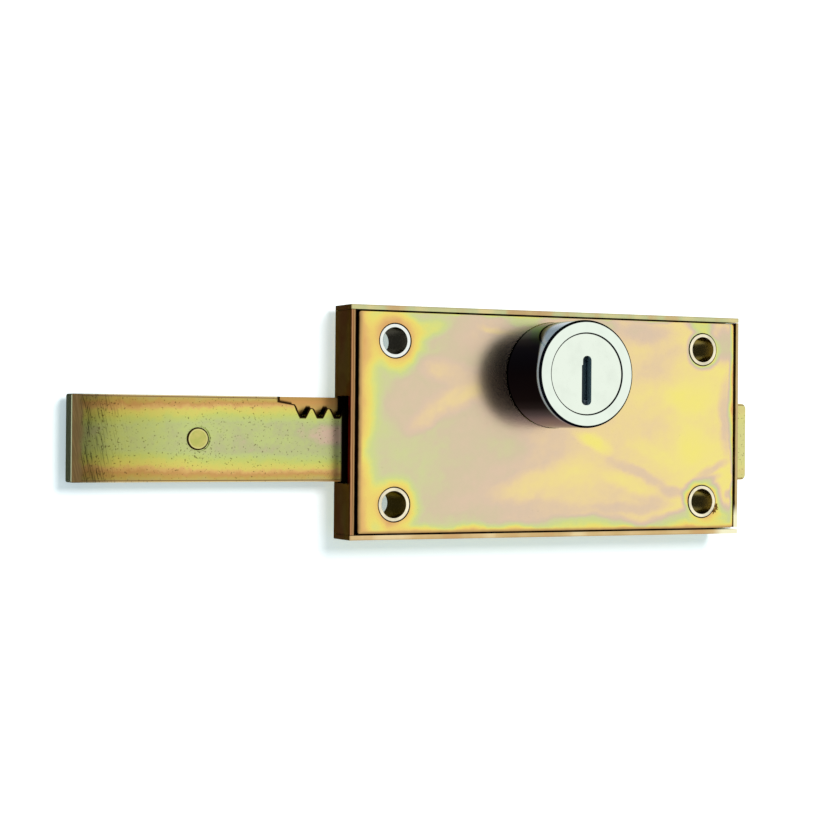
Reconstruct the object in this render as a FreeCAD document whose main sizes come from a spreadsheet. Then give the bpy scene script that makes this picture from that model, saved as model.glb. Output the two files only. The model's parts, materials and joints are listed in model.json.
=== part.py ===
"""Roller shutter lock: a shallow folded case, a turning plug in a round barrel, and one flat bolt.

Frame, in millimetres: X runs to the right along the bolt, Y runs from the mounting face into the case,
Z runs up. The origin is the centre of the four fixing holes on the mounting face, which is the plane of
the tray's front rim. The pose is the locked one: the bolt is out to the left and the key slot is upright.
"""
import FreeCAD, Part
import math
import os

import Sketcher

# Driving dimensions: alias, value, what it measures
SIZES = (
    ("case_width", "118", "tray, outside, left to right"),
    ("case_height", "60", "tray, outside, bottom to top"),
    ("case_depth", "12", "tray, outside, front rim to back"),
    ("case_metal", "1.2", "sheet that the tray is folded from"),
    ("bend_radius", "2.2", "outside radius of the tray's folds"),
    ("rim_round", "0.15", "softened edges of cut sheet"),
    ("corner_gap", "0.15", "open seam between two side walls"),
    ("corner_relief", "0.6", "larger notch at the lower right seam"),
    ("hole_shift", "0.5", "fixing pattern to the right of the case's centre line"),
    ("hole_edge_across", "12", "fixing holes from the case's left and right edges, on average"),
    ("hole_edge_up", "9", "fixing holes from the case's upper and lower edges"),
    ("fixing_bore", "6.9", "bore of a fixing tube"),
    ("tube_wall", "0.9", "wall of a fixing tube"),
    ("tube_shoulder", "0.3", "step down where a tube is swaged into the back"),
    ("tube_hole_gap", "0.27", "fixing tube to its hole in the cover, radial"),
    ("hole_slip", "0.18", "right-hand holes of the cover, to the left of their tubes"),
    ("cover_metal", "1.5", "cover plate"),
    ("cover_set_back", "0.3", "cover and fixing tubes behind the rim"),
    ("cover_side_gap", "0.6", "cover to side wall, on average"),
    ("cover_end_gap", "0.4", "cover to top and bottom wall"),
    ("cover_shift", "0.42", "cover to the right of the case's centre line"),
    ("cover_corner", "0.8", "corner radius of the cover"),
    ("barrel_margin", "1.25", "cover metal left above the barrel's hole"),
    ("barrel_diameter", "28", "barrel, outside"),
    ("barrel_reach", "17.4", "barrel in front of the rim"),
    ("barrel_hole_gap", "0.15", "barrel to its hole in the cover, radial"),
    ("barrel_lip", "0.6", "bevel at the front of the barrel"),
    ("neck_step", "0.3", "relief round the barrel where it passes the cover"),
    ("neck_start", "0.3", "start of that relief in front of the rim"),
    ("plug_diameter", "21.1", "turning plug"),
    ("plug_shoulder", "1", "plug's shoulder behind the rim"),
    ("plug_set_back", "0.3", "plug's face behind the barrel's face"),
    ("turning_gap", "0.05", "plug and journals to their bores, radial"),
    ("edge_break", "0.15", "bevels on the plug and its bore"),
    ("tail_diameter", "14", "plug's tail in the barrel floor"),
    ("square_flats", "9", "drive square under the pinion"),
    ("journal_diameter", "8", "plug's rear journal"),
    ("spigot_diameter", "24", "barrel where it is riveted into its flange"),
    ("flange_metal", "2.4", "barrel flange"),
    ("flange_width", "46", "barrel flange, left to right"),
    ("flange_height", "30", "barrel flange, bottom to top"),
    ("flange_top_gap", "0.8", "barrel flange to the tray's upper wall"),
    ("flange_corner", "5", "corner radius of the barrel flange"),
    ("slot_height", "12.8", "key slot, bottom to top"),
    ("slot_width", "2.86", "key slot, lower stretch"),
    ("slot_drop", "1.7", "slot's centre below the plug's axis"),
    ("slot_top_height", "2.4", "narrower stretch at the top of the slot"),
    ("slot_top_step", "0.3", "how much narrower that stretch is, on its left"),
    ("slot_mouth", "1.2", "depth of the wide mouth of the slot"),
    ("slot_end_round", "1.2", "corner radius at the ends of the slot's mouth"),
    ("keyway_width", "1.5", "key slot behind its mouth"),
    ("wafer_count", "6", "wafers along the plug"),
    ("wafer_pitch", "2.3", "wafer to wafer, along the plug"),
    ("wafer_metal", "1.2", "wafer thickness"),
    ("wafer_gap", "0.1", "wafer to its slot, each side"),
    ("wafer_width", "9", "wafer, left to right"),
    ("wafer_start", "2.4", "first wafer slot behind the plug's face"),
    ("wafer_travel", "0.9", "wafer travel each way"),
    ("window_width", "3.3", "key window in a wafer"),
    ("window_height", "11.2", "key window in a wafer"),
    ("cut_step", "0.3", "one step of the key's bitting"),
    ("lug_reach", "2.4", "wafer's spring lug, sideways"),
    ("lug_height", "1.8", "wafer's spring lug"),
    ("lug_base", "0.8", "lug's underside above the plug's axis"),
    ("spring_length", "5.2", "wafer spring as fitted"),
    ("spring_wire", "0.26", "wafer spring, wire"),
    ("spring_coil", "1", "wafer spring, middle of the wire"),
    ("spring_turns", "6", "wafer spring"),
    ("gear_module", "1.5", "rack and pinion"),
    ("pinion_teeth", "14", "teeth of the pinion"),
    ("pinion_tip", "0.6", "pinion teeth above the pitch circle"),
    ("rack_tip", "1", "rack teeth above the pitch line"),
    ("tooth_root", "1.875", "spaces of the pinion below the pitch circle"),
    ("rack_root", "1.4", "spaces of the rack below the pitch line"),
    ("tooth_slack", "0.2", "taken off each tooth at the pitch line"),
    ("part_gap", "0.3", "between pieces that pass each other"),
    ("slide_gap", "0.05", "bolt to the tray's back"),
    ("bolt_margin", "1.45", "bolt above the lower fixing tubes"),
    ("bolt_metal", "5", "bolt thickness"),
    ("bolt_reach", "70.8", "bolt out of the case on the left, locked"),
    ("bolt_tail", "6.7", "bolt out of the case on the right, locked"),
    ("bolt_nose_round", "0.5", "corner radius at the left end of the bolt"),
    ("bolt_tail_round", "1.5", "corner radius at the right end of the bolt"),
    ("bolt_edge_round", "0.3", "softened edges of the bolt"),
    ("rack_line", "3.8", "pitch line below the bolt's top edge"),
    ("rack_lead", "3.71", "first tooth space to the left of the barrel's axis, unlocked"),
    ("rack_layer", "2.6", "depth of the rack in the bolt's thickness"),
    ("ramp_far", "6.3", "start of the run-out before the first space"),
    ("ramp_near", "2.2", "end of the run-out before the first space"),
    ("ramp_foot", "1.6", "foot of the run-out before the first space"),
    ("ramp_shallow", "1.25", "run-out below the top edge at its start"),
    ("ramp_deep", "1.9", "run-out below the top edge at its end"),
    ("crest_round", "0.95", "rounding of the rack's crests"),
    ("root_round", "1", "rounding of the rack's roots"),
    ("pin_diameter", "5.7", "hardened pin in the bolt"),
    ("pin_groove", "0.35", "groove round the pin's ends, wide and deep"),
    ("pin_place", "32.2", "pin from the bolt's left end"),
    ("window_front", "1.4", "bolt window behind the rim"),
    ("window_gap", "0.5", "bolt to its windows, above and below"),
    ("bracket_metal", "1.5", "bolt guide bracket"),
    ("bracket_width", "8", "bolt guide bracket, along the bolt"),
    ("bracket_bend", "1.2", "outside radius at the bends of a guide bracket"),
    ("bracket_foot", "5.4", "foot of a guide bracket"),
    ("bracket_gap", "0.15", "guide bracket to the face of the bolt"),
    ("rivet_diameter", "3", "guide rivet"),
    ("rivet_head", "5.4", "guide rivet's heads"),
    ("rivet_rise", "0.8", "height of a rivet's head"),
    ("rivet_crown", "0.7", "rounding of a rivet's head"),
    ("screw_diameter", "4", "screws from the back"),
    ("screw_head", "7.4", "head of a screw"),
    ("screw_rise", "1.7", "height of a screw's head"),
    ("screw_crown", "1", "rounding of a screw's head"),
    ("screw_grip", "5.5", "length of thread in use"),
    ("cut_clear", "1", "how far a cut starts outside the metal"),
    ("recess_width", "1", "cross recess of a screw"),
    ("recess_length", "4.2", "cross recess of a screw"),
    ("recess_depth", "1", "cross recess of a screw"),
    ("thread_gap", "0.02", "screw to its tapped hole, radial"),
    ("passing_gap", "0.15", "screw to a plain hole, radial"),
    ("pillar_diameter", "7", "pillars on the cover and the flange"),
    ("pillar_inset", "13.5", "upper cover pillars inside the upper fixing holes"),
    ("flange_screw_across", "18.5", "flange screws from the barrel's axis"),
    ("flange_screw_up", "7", "flange screws above the barrel's axis"),
    ("bush_wall", "0.95", "wall of the rear bush"),
    ("bush_collar_width", "1", "collar of the rear bush, beyond its wall"),
    ("bush_rise", "0.8", "thickness of the bush's collar"),
    ("washer_diameter", "12", "washer behind the pinion"),
    ("washer_metal", "0.6", "washer behind the pinion"),
    ("clip_width", "1.7", "retaining ring, inside to outside"),
    ("clip_metal", "0.8", "retaining ring"),
    ("clip_groove_depth", "0.3", "retaining ring's groove in the journal"),
    ("clip_mouth", "4", "opening of the retaining ring"),
    ("clip_gap", "0.05", "play along the journal"),
)

# Sizes and places that follow from the driving dimensions: alias, formula, what it is
PLACES = (
    ("case_across", "=-Sizes.hole_shift", "case's centre line"),
    ("floor_front", "=Sizes.case_depth - Sizes.case_metal", "inner face of the tray's back"),
    ("inner_half_width", "=Sizes.case_width / 2 - Sizes.case_metal", "inside of a side wall"),
    ("inner_half_height", "=Sizes.case_height / 2 - Sizes.case_metal", "inside of the upper wall"),
    ("hole_span_across", "=Sizes.case_width - 2 * Sizes.hole_edge_across", "fixing holes, across"),
    ("hole_span_up", "=Sizes.case_height - 2 * Sizes.hole_edge_up", "fixing holes, up"),
    ("hole_inner_across", "=hole_span_across / 2 - Sizes.hole_shift", "nearer holes from the centre line"),
    ("tube_diameter", "=Sizes.fixing_bore + 2 * Sizes.tube_wall", "fixing tube, outside"),
    ("tube_spigot", "=tube_diameter - 2 * Sizes.tube_shoulder", "fixing tube in the tray's back"),
    ("cover_hole", "=tube_diameter + 2 * Sizes.tube_hole_gap", "hole in the cover round a tube"),
    ("cover_half_width", "=inner_half_width - Sizes.cover_side_gap", "cover, centre to edge"),
    ("cover_half_height", "=inner_half_height - Sizes.cover_end_gap", "cover, centre to edge"),
    ("cover_back", "=Sizes.cover_set_back + Sizes.cover_metal", "inner face of the cover"),
    ("neck_diameter", "=Sizes.barrel_diameter - 2 * Sizes.neck_step", "barrel in the cover"),
    ("barrel_hole", "=Sizes.barrel_diameter + 2 * Sizes.barrel_hole_gap", "barrel's hole in the cover"),
    ("barrel_up", "=cover_half_height - Sizes.barrel_margin - barrel_hole / 2", "barrel's axis"),
    ("flange_back", "=cover_back + Sizes.flange_metal", "rear face of the barrel flange"),
    ("flange_high", "=inner_half_height - Sizes.flange_top_gap - barrel_up", "flange above the axis"),
    ("flange_screw_height", "=barrel_up + Sizes.flange_screw_up", "flange screws"),
    ("plug_front", "=-Sizes.barrel_reach + Sizes.plug_set_back", "plug's face"),
    ("shell_floor", "=Sizes.plug_shoulder + Sizes.turning_gap", "front face of the barrel's floor"),
    ("slot_low", "=-Sizes.slot_drop - Sizes.slot_height / 2", "lower end of the key slot"),
    ("slot_high", "=slot_low + Sizes.slot_height", "upper end of the key slot"),
    ("slot_step", "=slot_high - Sizes.slot_top_height", "where the key slot narrows"),
    ("wafer_slot", "=Sizes.wafer_metal + 2 * Sizes.wafer_gap", "width of a wafer's slot"),
    ("wafer_first", "=-Sizes.barrel_reach + Sizes.wafer_start", "front of the first wafer slot"),
    ("wafer_row", "=(Sizes.wafer_count - 1) * Sizes.wafer_pitch", "first wafer to last wafer"),
    ("wafer_radius", "=Sizes.plug_diameter / 2 - Sizes.turning_gap", "round ends of a wafer"),
    ("spring_seat", "=Sizes.lug_base - Sizes.spring_length", "floor under the wafer springs"),
    ("lug_edge", "=Sizes.wafer_width / 2 + Sizes.lug_reach", "outer edge of a wafer's lug"),
    ("spring_across", "=Sizes.wafer_width / 2 + Sizes.lug_reach / 2", "axis of the wafer springs"),
    ("bolt_back", "=floor_front - Sizes.slide_gap", "rear face of the bolt"),
    ("bolt_front", "=bolt_back - Sizes.bolt_metal", "front face of the bolt"),
    ("rack_floor", "=bolt_front + Sizes.rack_layer", "back of the rack pocket"),
    ("pinion_front", "=flange_back + Sizes.part_gap", "front face of the pinion"),
    ("pinion_back", "=rack_floor - Sizes.part_gap", "rear face of the pinion"),
    ("pitch_radius", "=Sizes.gear_module * Sizes.pinion_teeth / 2", "pitch circle of the pinion"),
    ("tooth_pitch", "=Sizes.gear_module * pi", "tooth to tooth along the rack"),
    ("stroke", "=tooth_pitch * Sizes.pinion_teeth", "travel of the bolt in one turn of the key"),
    ("bolt_top", "=barrel_up - pitch_radius + Sizes.rack_line", "upper edge of the bolt"),
    ("bolt_bottom", "=-hole_span_up / 2 + tube_diameter / 2 + Sizes.bolt_margin", "lower edge"),
    ("bolt_height", "=bolt_top - bolt_bottom", "bolt, bottom to top"),
    ("bolt_axis", "=Sizes.bolt_reach + Sizes.case_width / 2", "barrel's axis from the bolt's left end"),
    ("bolt_left", "=case_across - bolt_axis", "left end of the bolt"),
    ("bolt_length", "=Sizes.bolt_reach + Sizes.case_width + Sizes.bolt_tail", "bolt, end to end"),
    ("rack_start", "=bolt_axis - stroke - Sizes.rack_lead", "first space from the left end"),
    ("rack_end", "=bolt_axis + pitch_radius + Sizes.pinion_tip + Sizes.part_gap", "end of the pocket"),
    ("rack_spaces", "=floor((rack_end - rack_start) / tooth_pitch)", "tooth spaces in the rack"),
    ("rack_row", "=(rack_spaces - 1) * tooth_pitch", "first space to last space"),
    ("crest_depth", "=Sizes.rack_line - Sizes.rack_tip", "rack crests below the upper edge"),
    ("root_depth", "=Sizes.rack_line + Sizes.rack_root", "rack roots below the upper edge"),
    ("bracket_across", "=hole_inner_across - tube_diameter / 2 - Sizes.part_gap - Sizes.bracket_width / 2",
     "guide bracket from the centre line"),
    ("bracket_inside", "=bolt_front - Sizes.bracket_gap", "inner face of a bracket's bridge"),
    ("bracket_front", "=bracket_inside - Sizes.bracket_metal", "outer face of a bracket's bridge"),
    ("foot_front", "=floor_front - Sizes.bracket_metal", "front face of a bracket's feet"),
    ("leg_top", "=bolt_top + Sizes.part_gap", "inside of a bracket's upper leg"),
    ("leg_bottom", "=bolt_bottom - Sizes.part_gap", "inside of a bracket's lower leg"),
    ("rivet_top", "=leg_top + Sizes.bracket_metal + Sizes.bracket_foot / 2", "upper rivets"),
    ("rivet_bottom", "=leg_bottom - Sizes.bracket_metal - Sizes.bracket_foot / 2", "lower rivets"),
    ("pillar_across", "=hole_inner_across - Sizes.pillar_inset", "upper cover pillars"),
    ("pillar_low", "=(bolt_bottom - inner_half_height) / 2", "lower cover pillar"),
    ("bush_diameter", "=Sizes.journal_diameter + 2 * Sizes.turning_gap + 2 * Sizes.bush_wall", "rear bush"),
    ("bush_collar", "=bush_diameter + 2 * Sizes.bush_collar_width", "collar of the rear bush"),
    ("washer_front", "=pinion_back + Sizes.clip_gap", "front face of the washer"),
    ("clip_front", "=washer_front + Sizes.washer_metal + Sizes.clip_gap", "front of the retaining ring"),
    ("clip_groove", "=Sizes.journal_diameter - 2 * Sizes.clip_groove_depth", "bottom of its groove"),
    ("clip_diameter", "=clip_groove + 2 * Sizes.clip_width", "retaining ring, outside"),
)

# Lengths nearer than this are taken as the same
SAME = 0.001

# Size that a sketch's outlines start with, before their constraints place them
FIRST_GUESS = 10.0

# Steps of the key's bitting, one for each wafer from the front, used in turn
BITTING = (2, -1, 1, -2, 0, 1)

# Corners of the fixing pattern: name, side across, side up
CORNERS = (
    ("top_left", -1, 1),
    ("top_right", 1, 1),
    ("bottom_left", -1, -1),
    ("bottom_right", 1, -1),
)

doc = FreeCAD.newDocument("roller_shutter_lock")
nodes = []


def fill_sheet(name, rows):
    """Makes a spreadsheet whose cells are named after the sizes in it."""
    sheet = doc.addObject("Spreadsheet::Sheet", name)
    for row, (alias, value, meaning) in enumerate(rows, start=1):
        sheet.set(f"A{row}", alias)
        sheet.set(f"B{row}", value)
        sheet.set(f"C{row}", meaning)
        sheet.setAlias(f"B{row}", alias)
    doc.recompute()
    return sheet


sizes = fill_sheet("Sizes", SIZES)
places = fill_sheet("Places", PLACES)


def size(alias):
    """A driving dimension as a number."""
    return float(getattr(sizes, alias))


def place(alias):
    """A derived size or place as a number."""
    return float(getattr(places, alias))


def new_body(name, across="0 mm", up="0 mm", depth="0 mm", node=True):
    """Starts a body whose own origin stands at the given place."""
    piece = doc.addObject("PartDesign::Body", name)
    piece.Label = name
    piece.setExpression("Placement.Base.x", across)
    piece.setExpression("Placement.Base.y", depth)
    piece.setExpression("Placement.Base.z", up)
    if node:
        nodes.append(piece)
    return piece


def new_sketch(piece, name, depth="0 mm", role="XZ_Plane"):
    """Starts a sketch on one of the body's own planes, moved along Y (or along X on YZ_Plane)."""
    sketch = piece.newObject("Sketcher::SketchObject", f"{piece.Name}_{name}")
    plane = [face for face in piece.Origin.OriginFeatures if face.Role == role][0]
    sketch.AttachmentSupport = [(plane, "")]
    sketch.MapMode = "FlatFace"
    # The XZ plane faces the viewer, so depth into the case is a negative offset from it
    sign = "-" if role == "XZ_Plane" else ""
    sketch.setExpression("AttachmentOffset.Base.z", f"{sign}({depth})")
    return sketch


def bind(sketch, kind, geometry, point, value):
    """Ties one coordinate of a point in a sketch to an expression."""
    index = sketch.addConstraint(Sketcher.Constraint(kind, -1, 1, geometry, point, FIRST_GUESS))
    sketch.renameConstraint(index, f"c{index}")
    sketch.setExpression(f"Constraints.c{index}", value)


def add_outline(sketch, corners):
    """Adds a closed outline with straight sides, its corners given as pairs of expressions."""
    first = sketch.GeometryCount
    count = len(corners)
    turns = [2 * math.pi * step / count for step in range(count)]
    points = [FreeCAD.Vector(math.cos(turn), math.sin(turn), 0) * FIRST_GUESS for turn in turns]
    for step in range(count):
        sketch.addGeometry(Part.LineSegment(points[step], points[(step + 1) % count]), False)
    for step in range(count):
        after = first + (step + 1) % count
        sketch.addConstraint(Sketcher.Constraint("Coincident", first + step, 2, after, 1))
    for step, (across, up) in enumerate(corners):
        bind(sketch, "DistanceX", first + step, 1, across)
        bind(sketch, "DistanceY", first + step, 1, up)


def add_rectangle(sketch, left, bottom, right, top):
    """Adds a rectangle between two corners given as expressions."""
    add_outline(sketch, ((left, bottom), (right, bottom), (right, top), (left, top)))


def add_circle(sketch, diameter, across=None, up=None):
    """Adds a circle, on the sketch's origin unless its centre is given."""
    circle = Part.Circle(FreeCAD.Vector(0, 0, 0), FreeCAD.Vector(0, 0, 1), FIRST_GUESS / 2)
    index = sketch.addGeometry(circle, False)
    if across is None:
        sketch.addConstraint(Sketcher.Constraint("Coincident", index, 3, -1, 1))
    else:
        bind(sketch, "DistanceX", index, 3, across)
        bind(sketch, "DistanceY", index, 3, up)
    sized = sketch.addConstraint(Sketcher.Constraint("Diameter", index, FIRST_GUESS))
    sketch.renameConstraint(sized, f"c{sized}")
    sketch.setExpression(f"Constraints.c{sized}", diameter)


def pad(piece, sketch, length):
    """Adds material from a sketch, into the case."""
    feature = piece.newObject("PartDesign::Pad", f"{sketch.Name}_pad")
    feature.Profile = sketch
    feature.Reversed = True
    feature.setExpression("Length", length)
    doc.recompute()
    return feature


def cut(piece, sketch, length, both_ways=False):
    """Takes material away from a sketch, into the case, and makes sure that it did."""
    before = piece.Shape.Volume
    feature = piece.newObject("PartDesign::Pocket", f"{sketch.Name}_cut")
    feature.Profile = sketch
    feature.setExpression("Length", length)
    if both_ways:
        feature.SideType = "Symmetric"
    doc.recompute()
    if piece.Shape.Volume >= before:
        raise RuntimeError(f"{feature.Name} cuts nothing")
    return feature


def repeat(piece, feature, axis_role, length, count):
    """Repeats a feature along one of the body's own axes."""
    pattern = piece.newObject("PartDesign::LinearPattern", f"{feature.Name}_row")
    axis = [line for line in piece.Origin.OriginFeatures if line.Role == axis_role][0]
    pattern.Originals = [feature]
    pattern.Direction = (axis, [""])
    pattern.setExpression("Length", length)
    pattern.setExpression("Occurrences", count)
    piece.Tip = pattern
    doc.recompute()
    return pattern


def edges_where(shape, wanted):
    """Names the edges of a shape for which the test holds."""
    return [f"Edge{index}" for index, edge in enumerate(shape.Edges, start=1) if wanted(edge)]


def dress(piece, kind, name, wanted, amount):
    """Rounds or bevels the chosen edges of a body."""
    base = piece.Tip
    feature = piece.newObject(f"PartDesign::{kind}", f"{piece.Name}_{name}")
    feature.Base = (base, edges_where(base.Shape, wanted))
    feature.setExpression("Radius" if kind == "Fillet" else "Size", amount)
    doc.recompute()
    return feature


def at(value, target):
    """True where two lengths are the same, but for rounding."""
    return abs(value - target) < SAME


def lies_at_depth(edge, depth):
    """True for an edge that lies in the plane at the given depth."""
    return at(edge.BoundBox.YMin, depth) and at(edge.BoundBox.YMax, depth)


def runs_in_depth(edge):
    """True for a straight edge that runs along Y."""
    return at(edge.BoundBox.XLength, 0) and at(edge.BoundBox.ZLength, 0)


def group(name, pieces):
    """One node that holds several like pieces as separate solids."""
    bundle = doc.addObject("Part::Compound", name)
    bundle.Label = name
    bundle.Links = pieces
    nodes.append(bundle)
    doc.recompute()
    return bundle


def make_case_tray():
    """The folded tray: a back and four walls, with a window for the bolt in each side wall."""
    tray = new_body("case_tray", across="Places.case_across")
    outline = new_sketch(tray, "outline")
    add_rectangle(outline, "-Sizes.case_width / 2", "-Sizes.case_height / 2",
                  "Sizes.case_width / 2", "Sizes.case_height / 2")
    pad(tray, outline, "Sizes.case_depth")
    dress(tray, "Fillet", "folds", lambda edge: lies_at_depth(edge, size("case_depth")),
          "Sizes.bend_radius")

    inside = new_sketch(tray, "inside")
    add_rectangle(inside, "-Places.inner_half_width", "-Places.inner_half_height",
                  "Places.inner_half_width", "Places.inner_half_height")
    cut(tray, inside, "Places.floor_front")
    dress(tray, "Fillet", "inner_folds", lambda edge: lies_at_depth(edge, place("floor_front")),
          "Sizes.bend_radius - Sizes.case_metal")

    windows = new_sketch(tray, "windows", role="YZ_Plane")
    add_rectangle(windows, "Sizes.window_front", "Places.bolt_bottom - Sizes.window_gap",
                  "Places.floor_front", "Places.bolt_top + Sizes.window_gap")
    cut(tray, windows, "2 * Sizes.case_width", both_ways=True)

    seams = new_sketch(tray, "seams")
    for name, side, rise in CORNERS:
        gap = "Sizes.corner_relief" if name == "bottom_right" else "Sizes.corner_gap"
        walls = sorted(((side, f"{side} * Places.inner_half_width"),
                        (2 * side, f"{side} * Sizes.case_width")))
        levels = sorted(((rise, f"{rise} * (Places.inner_half_height - {gap})"),
                         (2 * rise, f"{rise} * Places.inner_half_height")))
        add_rectangle(seams, walls[0][1], levels[0][1], walls[1][1], levels[1][1])
    cut(tray, seams, "Sizes.case_depth - Sizes.bend_radius")

    holes = new_sketch(tray, "holes", depth="Places.floor_front - Sizes.case_metal / 2")
    for name, side, rise in CORNERS:
        add_circle(holes, "Places.tube_spigot", f"Sizes.hole_shift + {side} * Places.hole_span_across / 2",
                   f"{rise} * Places.hole_span_up / 2")
        height = "Places.rivet_top" if rise > 0 else "Places.rivet_bottom"
        add_circle(holes, "Sizes.rivet_diameter", f"{side} * Places.bracket_across", height)
    add_circle(holes, "Places.bush_diameter", "0", "Places.barrel_up")
    screw_hole = "Sizes.screw_diameter + 2 * Sizes.passing_gap"
    for side in (-1, 1):
        add_circle(holes, screw_hole, f"{side} * Sizes.flange_screw_across", "Places.flange_screw_height")
        add_circle(holes, screw_hole, f"{side} * Places.pillar_across", "Places.hole_span_up / 2")
    add_circle(holes, screw_hole, "0", "Places.pillar_low")
    cut(tray, holes, "2 * Sizes.case_metal")
    return tray


def make_cover_plate():
    """The flat cover inside the rim, pierced for the barrel and the fixing tubes."""
    cover = new_body("cover_plate", across="Places.case_across + Sizes.cover_shift")
    outline = new_sketch(cover, "outline", depth="Sizes.cover_set_back")
    add_rectangle(outline, "-Places.cover_half_width", "-Places.cover_half_height",
                  "Places.cover_half_width", "Places.cover_half_height")
    pad(cover, outline, "Sizes.cover_metal")
    dress(cover, "Fillet", "corners", runs_in_depth, "Sizes.cover_corner")
    dress(cover, "Fillet", "front_edge", lambda edge: lies_at_depth(edge, size("cover_set_back")),
          "Sizes.rim_round")

    holes = new_sketch(cover, "holes", depth="Sizes.cover_set_back - Sizes.cut_clear")
    for _, side, rise in CORNERS:
        across = f"Sizes.hole_shift - Sizes.cover_shift + {side} * Places.hole_span_across / 2"
        if side > 0:
            across += " - Sizes.hole_slip"
        add_circle(holes, "Places.cover_hole", across, f"{rise} * Places.hole_span_up / 2")
    add_circle(holes, "Places.barrel_hole", "-Sizes.cover_shift",
               "Places.barrel_up")
    cut(cover, holes, "Sizes.cover_metal + 2 * Sizes.cut_clear")
    return cover


def make_fixing_tube(name, side, rise):
    """A tube round one fixing bolt, swaged into the tray's back."""
    tube = new_body(f"fixing_tube_{name}", across=f"{side} * Places.hole_span_across / 2",
                    up=f"{rise} * Places.hole_span_up / 2")
    wall = new_sketch(tube, "wall", depth="Sizes.cover_set_back")
    add_circle(wall, "Places.tube_diameter")
    add_circle(wall, "Sizes.fixing_bore")
    pad(tube, wall, "Places.floor_front - Sizes.cover_set_back")
    dress(tube, "Fillet", "front_edge", lambda edge: lies_at_depth(edge, size("cover_set_back")),
          "Sizes.rim_round")
    spigot = new_sketch(tube, "spigot", depth="Places.floor_front")
    add_circle(spigot, "Places.tube_spigot")
    add_circle(spigot, "Sizes.fixing_bore")
    pad(tube, spigot, "Sizes.case_metal")
    return tube


def make_screw(name, across, up, tip):
    """A pan-head screw with a cross recess, driven from the back of the tray."""
    screw = new_body(name, across=across, up=up, node=False)
    head = new_sketch(screw, "head", depth="Sizes.case_depth")
    add_circle(head, "Sizes.screw_head")
    pad(screw, head, "Sizes.screw_rise")
    outer = "Sizes.case_depth + Sizes.screw_rise"
    outer_depth = size("case_depth") + size("screw_rise")
    dress(screw, "Fillet", "crown", lambda edge: lies_at_depth(edge, outer_depth), "Sizes.screw_crown")
    shank = new_sketch(screw, "shank", depth=tip)
    add_circle(shank, "Sizes.screw_diameter")
    pad(screw, shank, f"Sizes.case_depth - ({tip})")
    recess = new_sketch(screw, "recess", depth=f"{outer} - Sizes.recess_depth")
    arm, half = "Sizes.recess_length / 2", "Sizes.recess_width / 2"
    add_outline(recess, (
        (arm, f"-{half}"), (arm, half), (half, half), (half, arm), (f"-{half}", arm), (f"-{half}", half),
        (f"-{arm}", half), (f"-{arm}", f"-{half}"), (f"-{half}", f"-{half}"), (f"-{half}", f"-{arm}"),
        (half, f"-{arm}"), (half, f"-{half}")))
    cut(screw, recess, "2 * Sizes.recess_depth")
    return screw


def make_cover_pillars():
    """Three pillars welded to the inside of the cover, and the screws that hold them to the back."""
    thread = "Sizes.screw_diameter + 2 * Sizes.thread_gap"
    spots = (
        ("upper_left", "Places.case_across - Places.pillar_across", "Places.hole_span_up / 2"),
        ("upper_right", "Places.case_across + Places.pillar_across", "Places.hole_span_up / 2"),
        ("lower", "Places.case_across", "Places.pillar_low"),
    )
    screws = []
    for name, across, up in spots:
        pillar = new_body(f"cover_pillar_{name}", across=across, up=up)
        post = new_sketch(pillar, "post", depth="Places.cover_back")
        add_circle(post, "Sizes.pillar_diameter")
        pad(pillar, post, "Places.floor_front - Places.cover_back")
        tapped = new_sketch(pillar, "tapped", depth="Places.floor_front - Sizes.screw_grip")
        add_circle(tapped, thread)
        cut(pillar, tapped, "2 * Sizes.screw_grip")
        screws.append(make_screw(f"cover_screw_{name}", across, up,
                                 "Places.floor_front - Sizes.screw_grip + Sizes.part_gap"))
    group("cover_screws", screws)


def make_barrel_shell():
    """The round barrel that the plug turns in, with a groove above and below for the wafers."""
    shell = new_body("barrel_shell", across="Places.case_across", up="Places.barrel_up")
    wall = new_sketch(shell, "wall", depth="-Sizes.barrel_reach")
    add_circle(wall, "Sizes.barrel_diameter")
    pad(shell, wall, "Sizes.barrel_reach - Sizes.neck_start")
    dress(shell, "Chamfer", "lip", lambda edge: lies_at_depth(edge, -size("barrel_reach")),
          "Sizes.barrel_lip")
    neck = new_sketch(shell, "neck", depth="-Sizes.neck_start")
    add_circle(neck, "Places.neck_diameter")
    pad(shell, neck, "Sizes.neck_start + Places.cover_back")
    spigot = new_sketch(shell, "spigot", depth="Places.cover_back")
    add_circle(spigot, "Sizes.spigot_diameter")
    pad(shell, spigot, "Sizes.flange_metal")

    bore = new_sketch(shell, "bore", depth="-Sizes.barrel_reach")
    add_circle(bore, "Sizes.plug_diameter + 2 * Sizes.turning_gap")
    cut(shell, bore, "Sizes.barrel_reach + Places.shell_floor")
    mouth_radius = size("plug_diameter") / 2 + size("turning_gap")
    dress(shell, "Chamfer", "mouth",
          lambda edge: lies_at_depth(edge, -size("barrel_reach")) and at(edge.BoundBox.XMax, mouth_radius),
          "Sizes.edge_break")
    tail = new_sketch(shell, "tail_bore", depth="Places.shell_floor - Sizes.cut_clear")
    add_circle(tail, "Sizes.tail_diameter + 2 * Sizes.turning_gap")
    cut(shell, tail, "2 * Sizes.flange_metal + 2 * Sizes.cut_clear")

    groove = new_sketch(shell, "groove", depth="Places.wafer_first - Sizes.part_gap")
    half_width = "(Sizes.wafer_width / 2 + Sizes.part_gap)"
    half_height = "(Places.wafer_radius + Sizes.wafer_travel + Sizes.part_gap)"
    add_rectangle(groove, f"-{half_width}", f"-{half_height}", half_width, half_height)
    cut(shell, groove, "Places.shell_floor - Places.wafer_first + Sizes.part_gap")
    return shell


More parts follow.
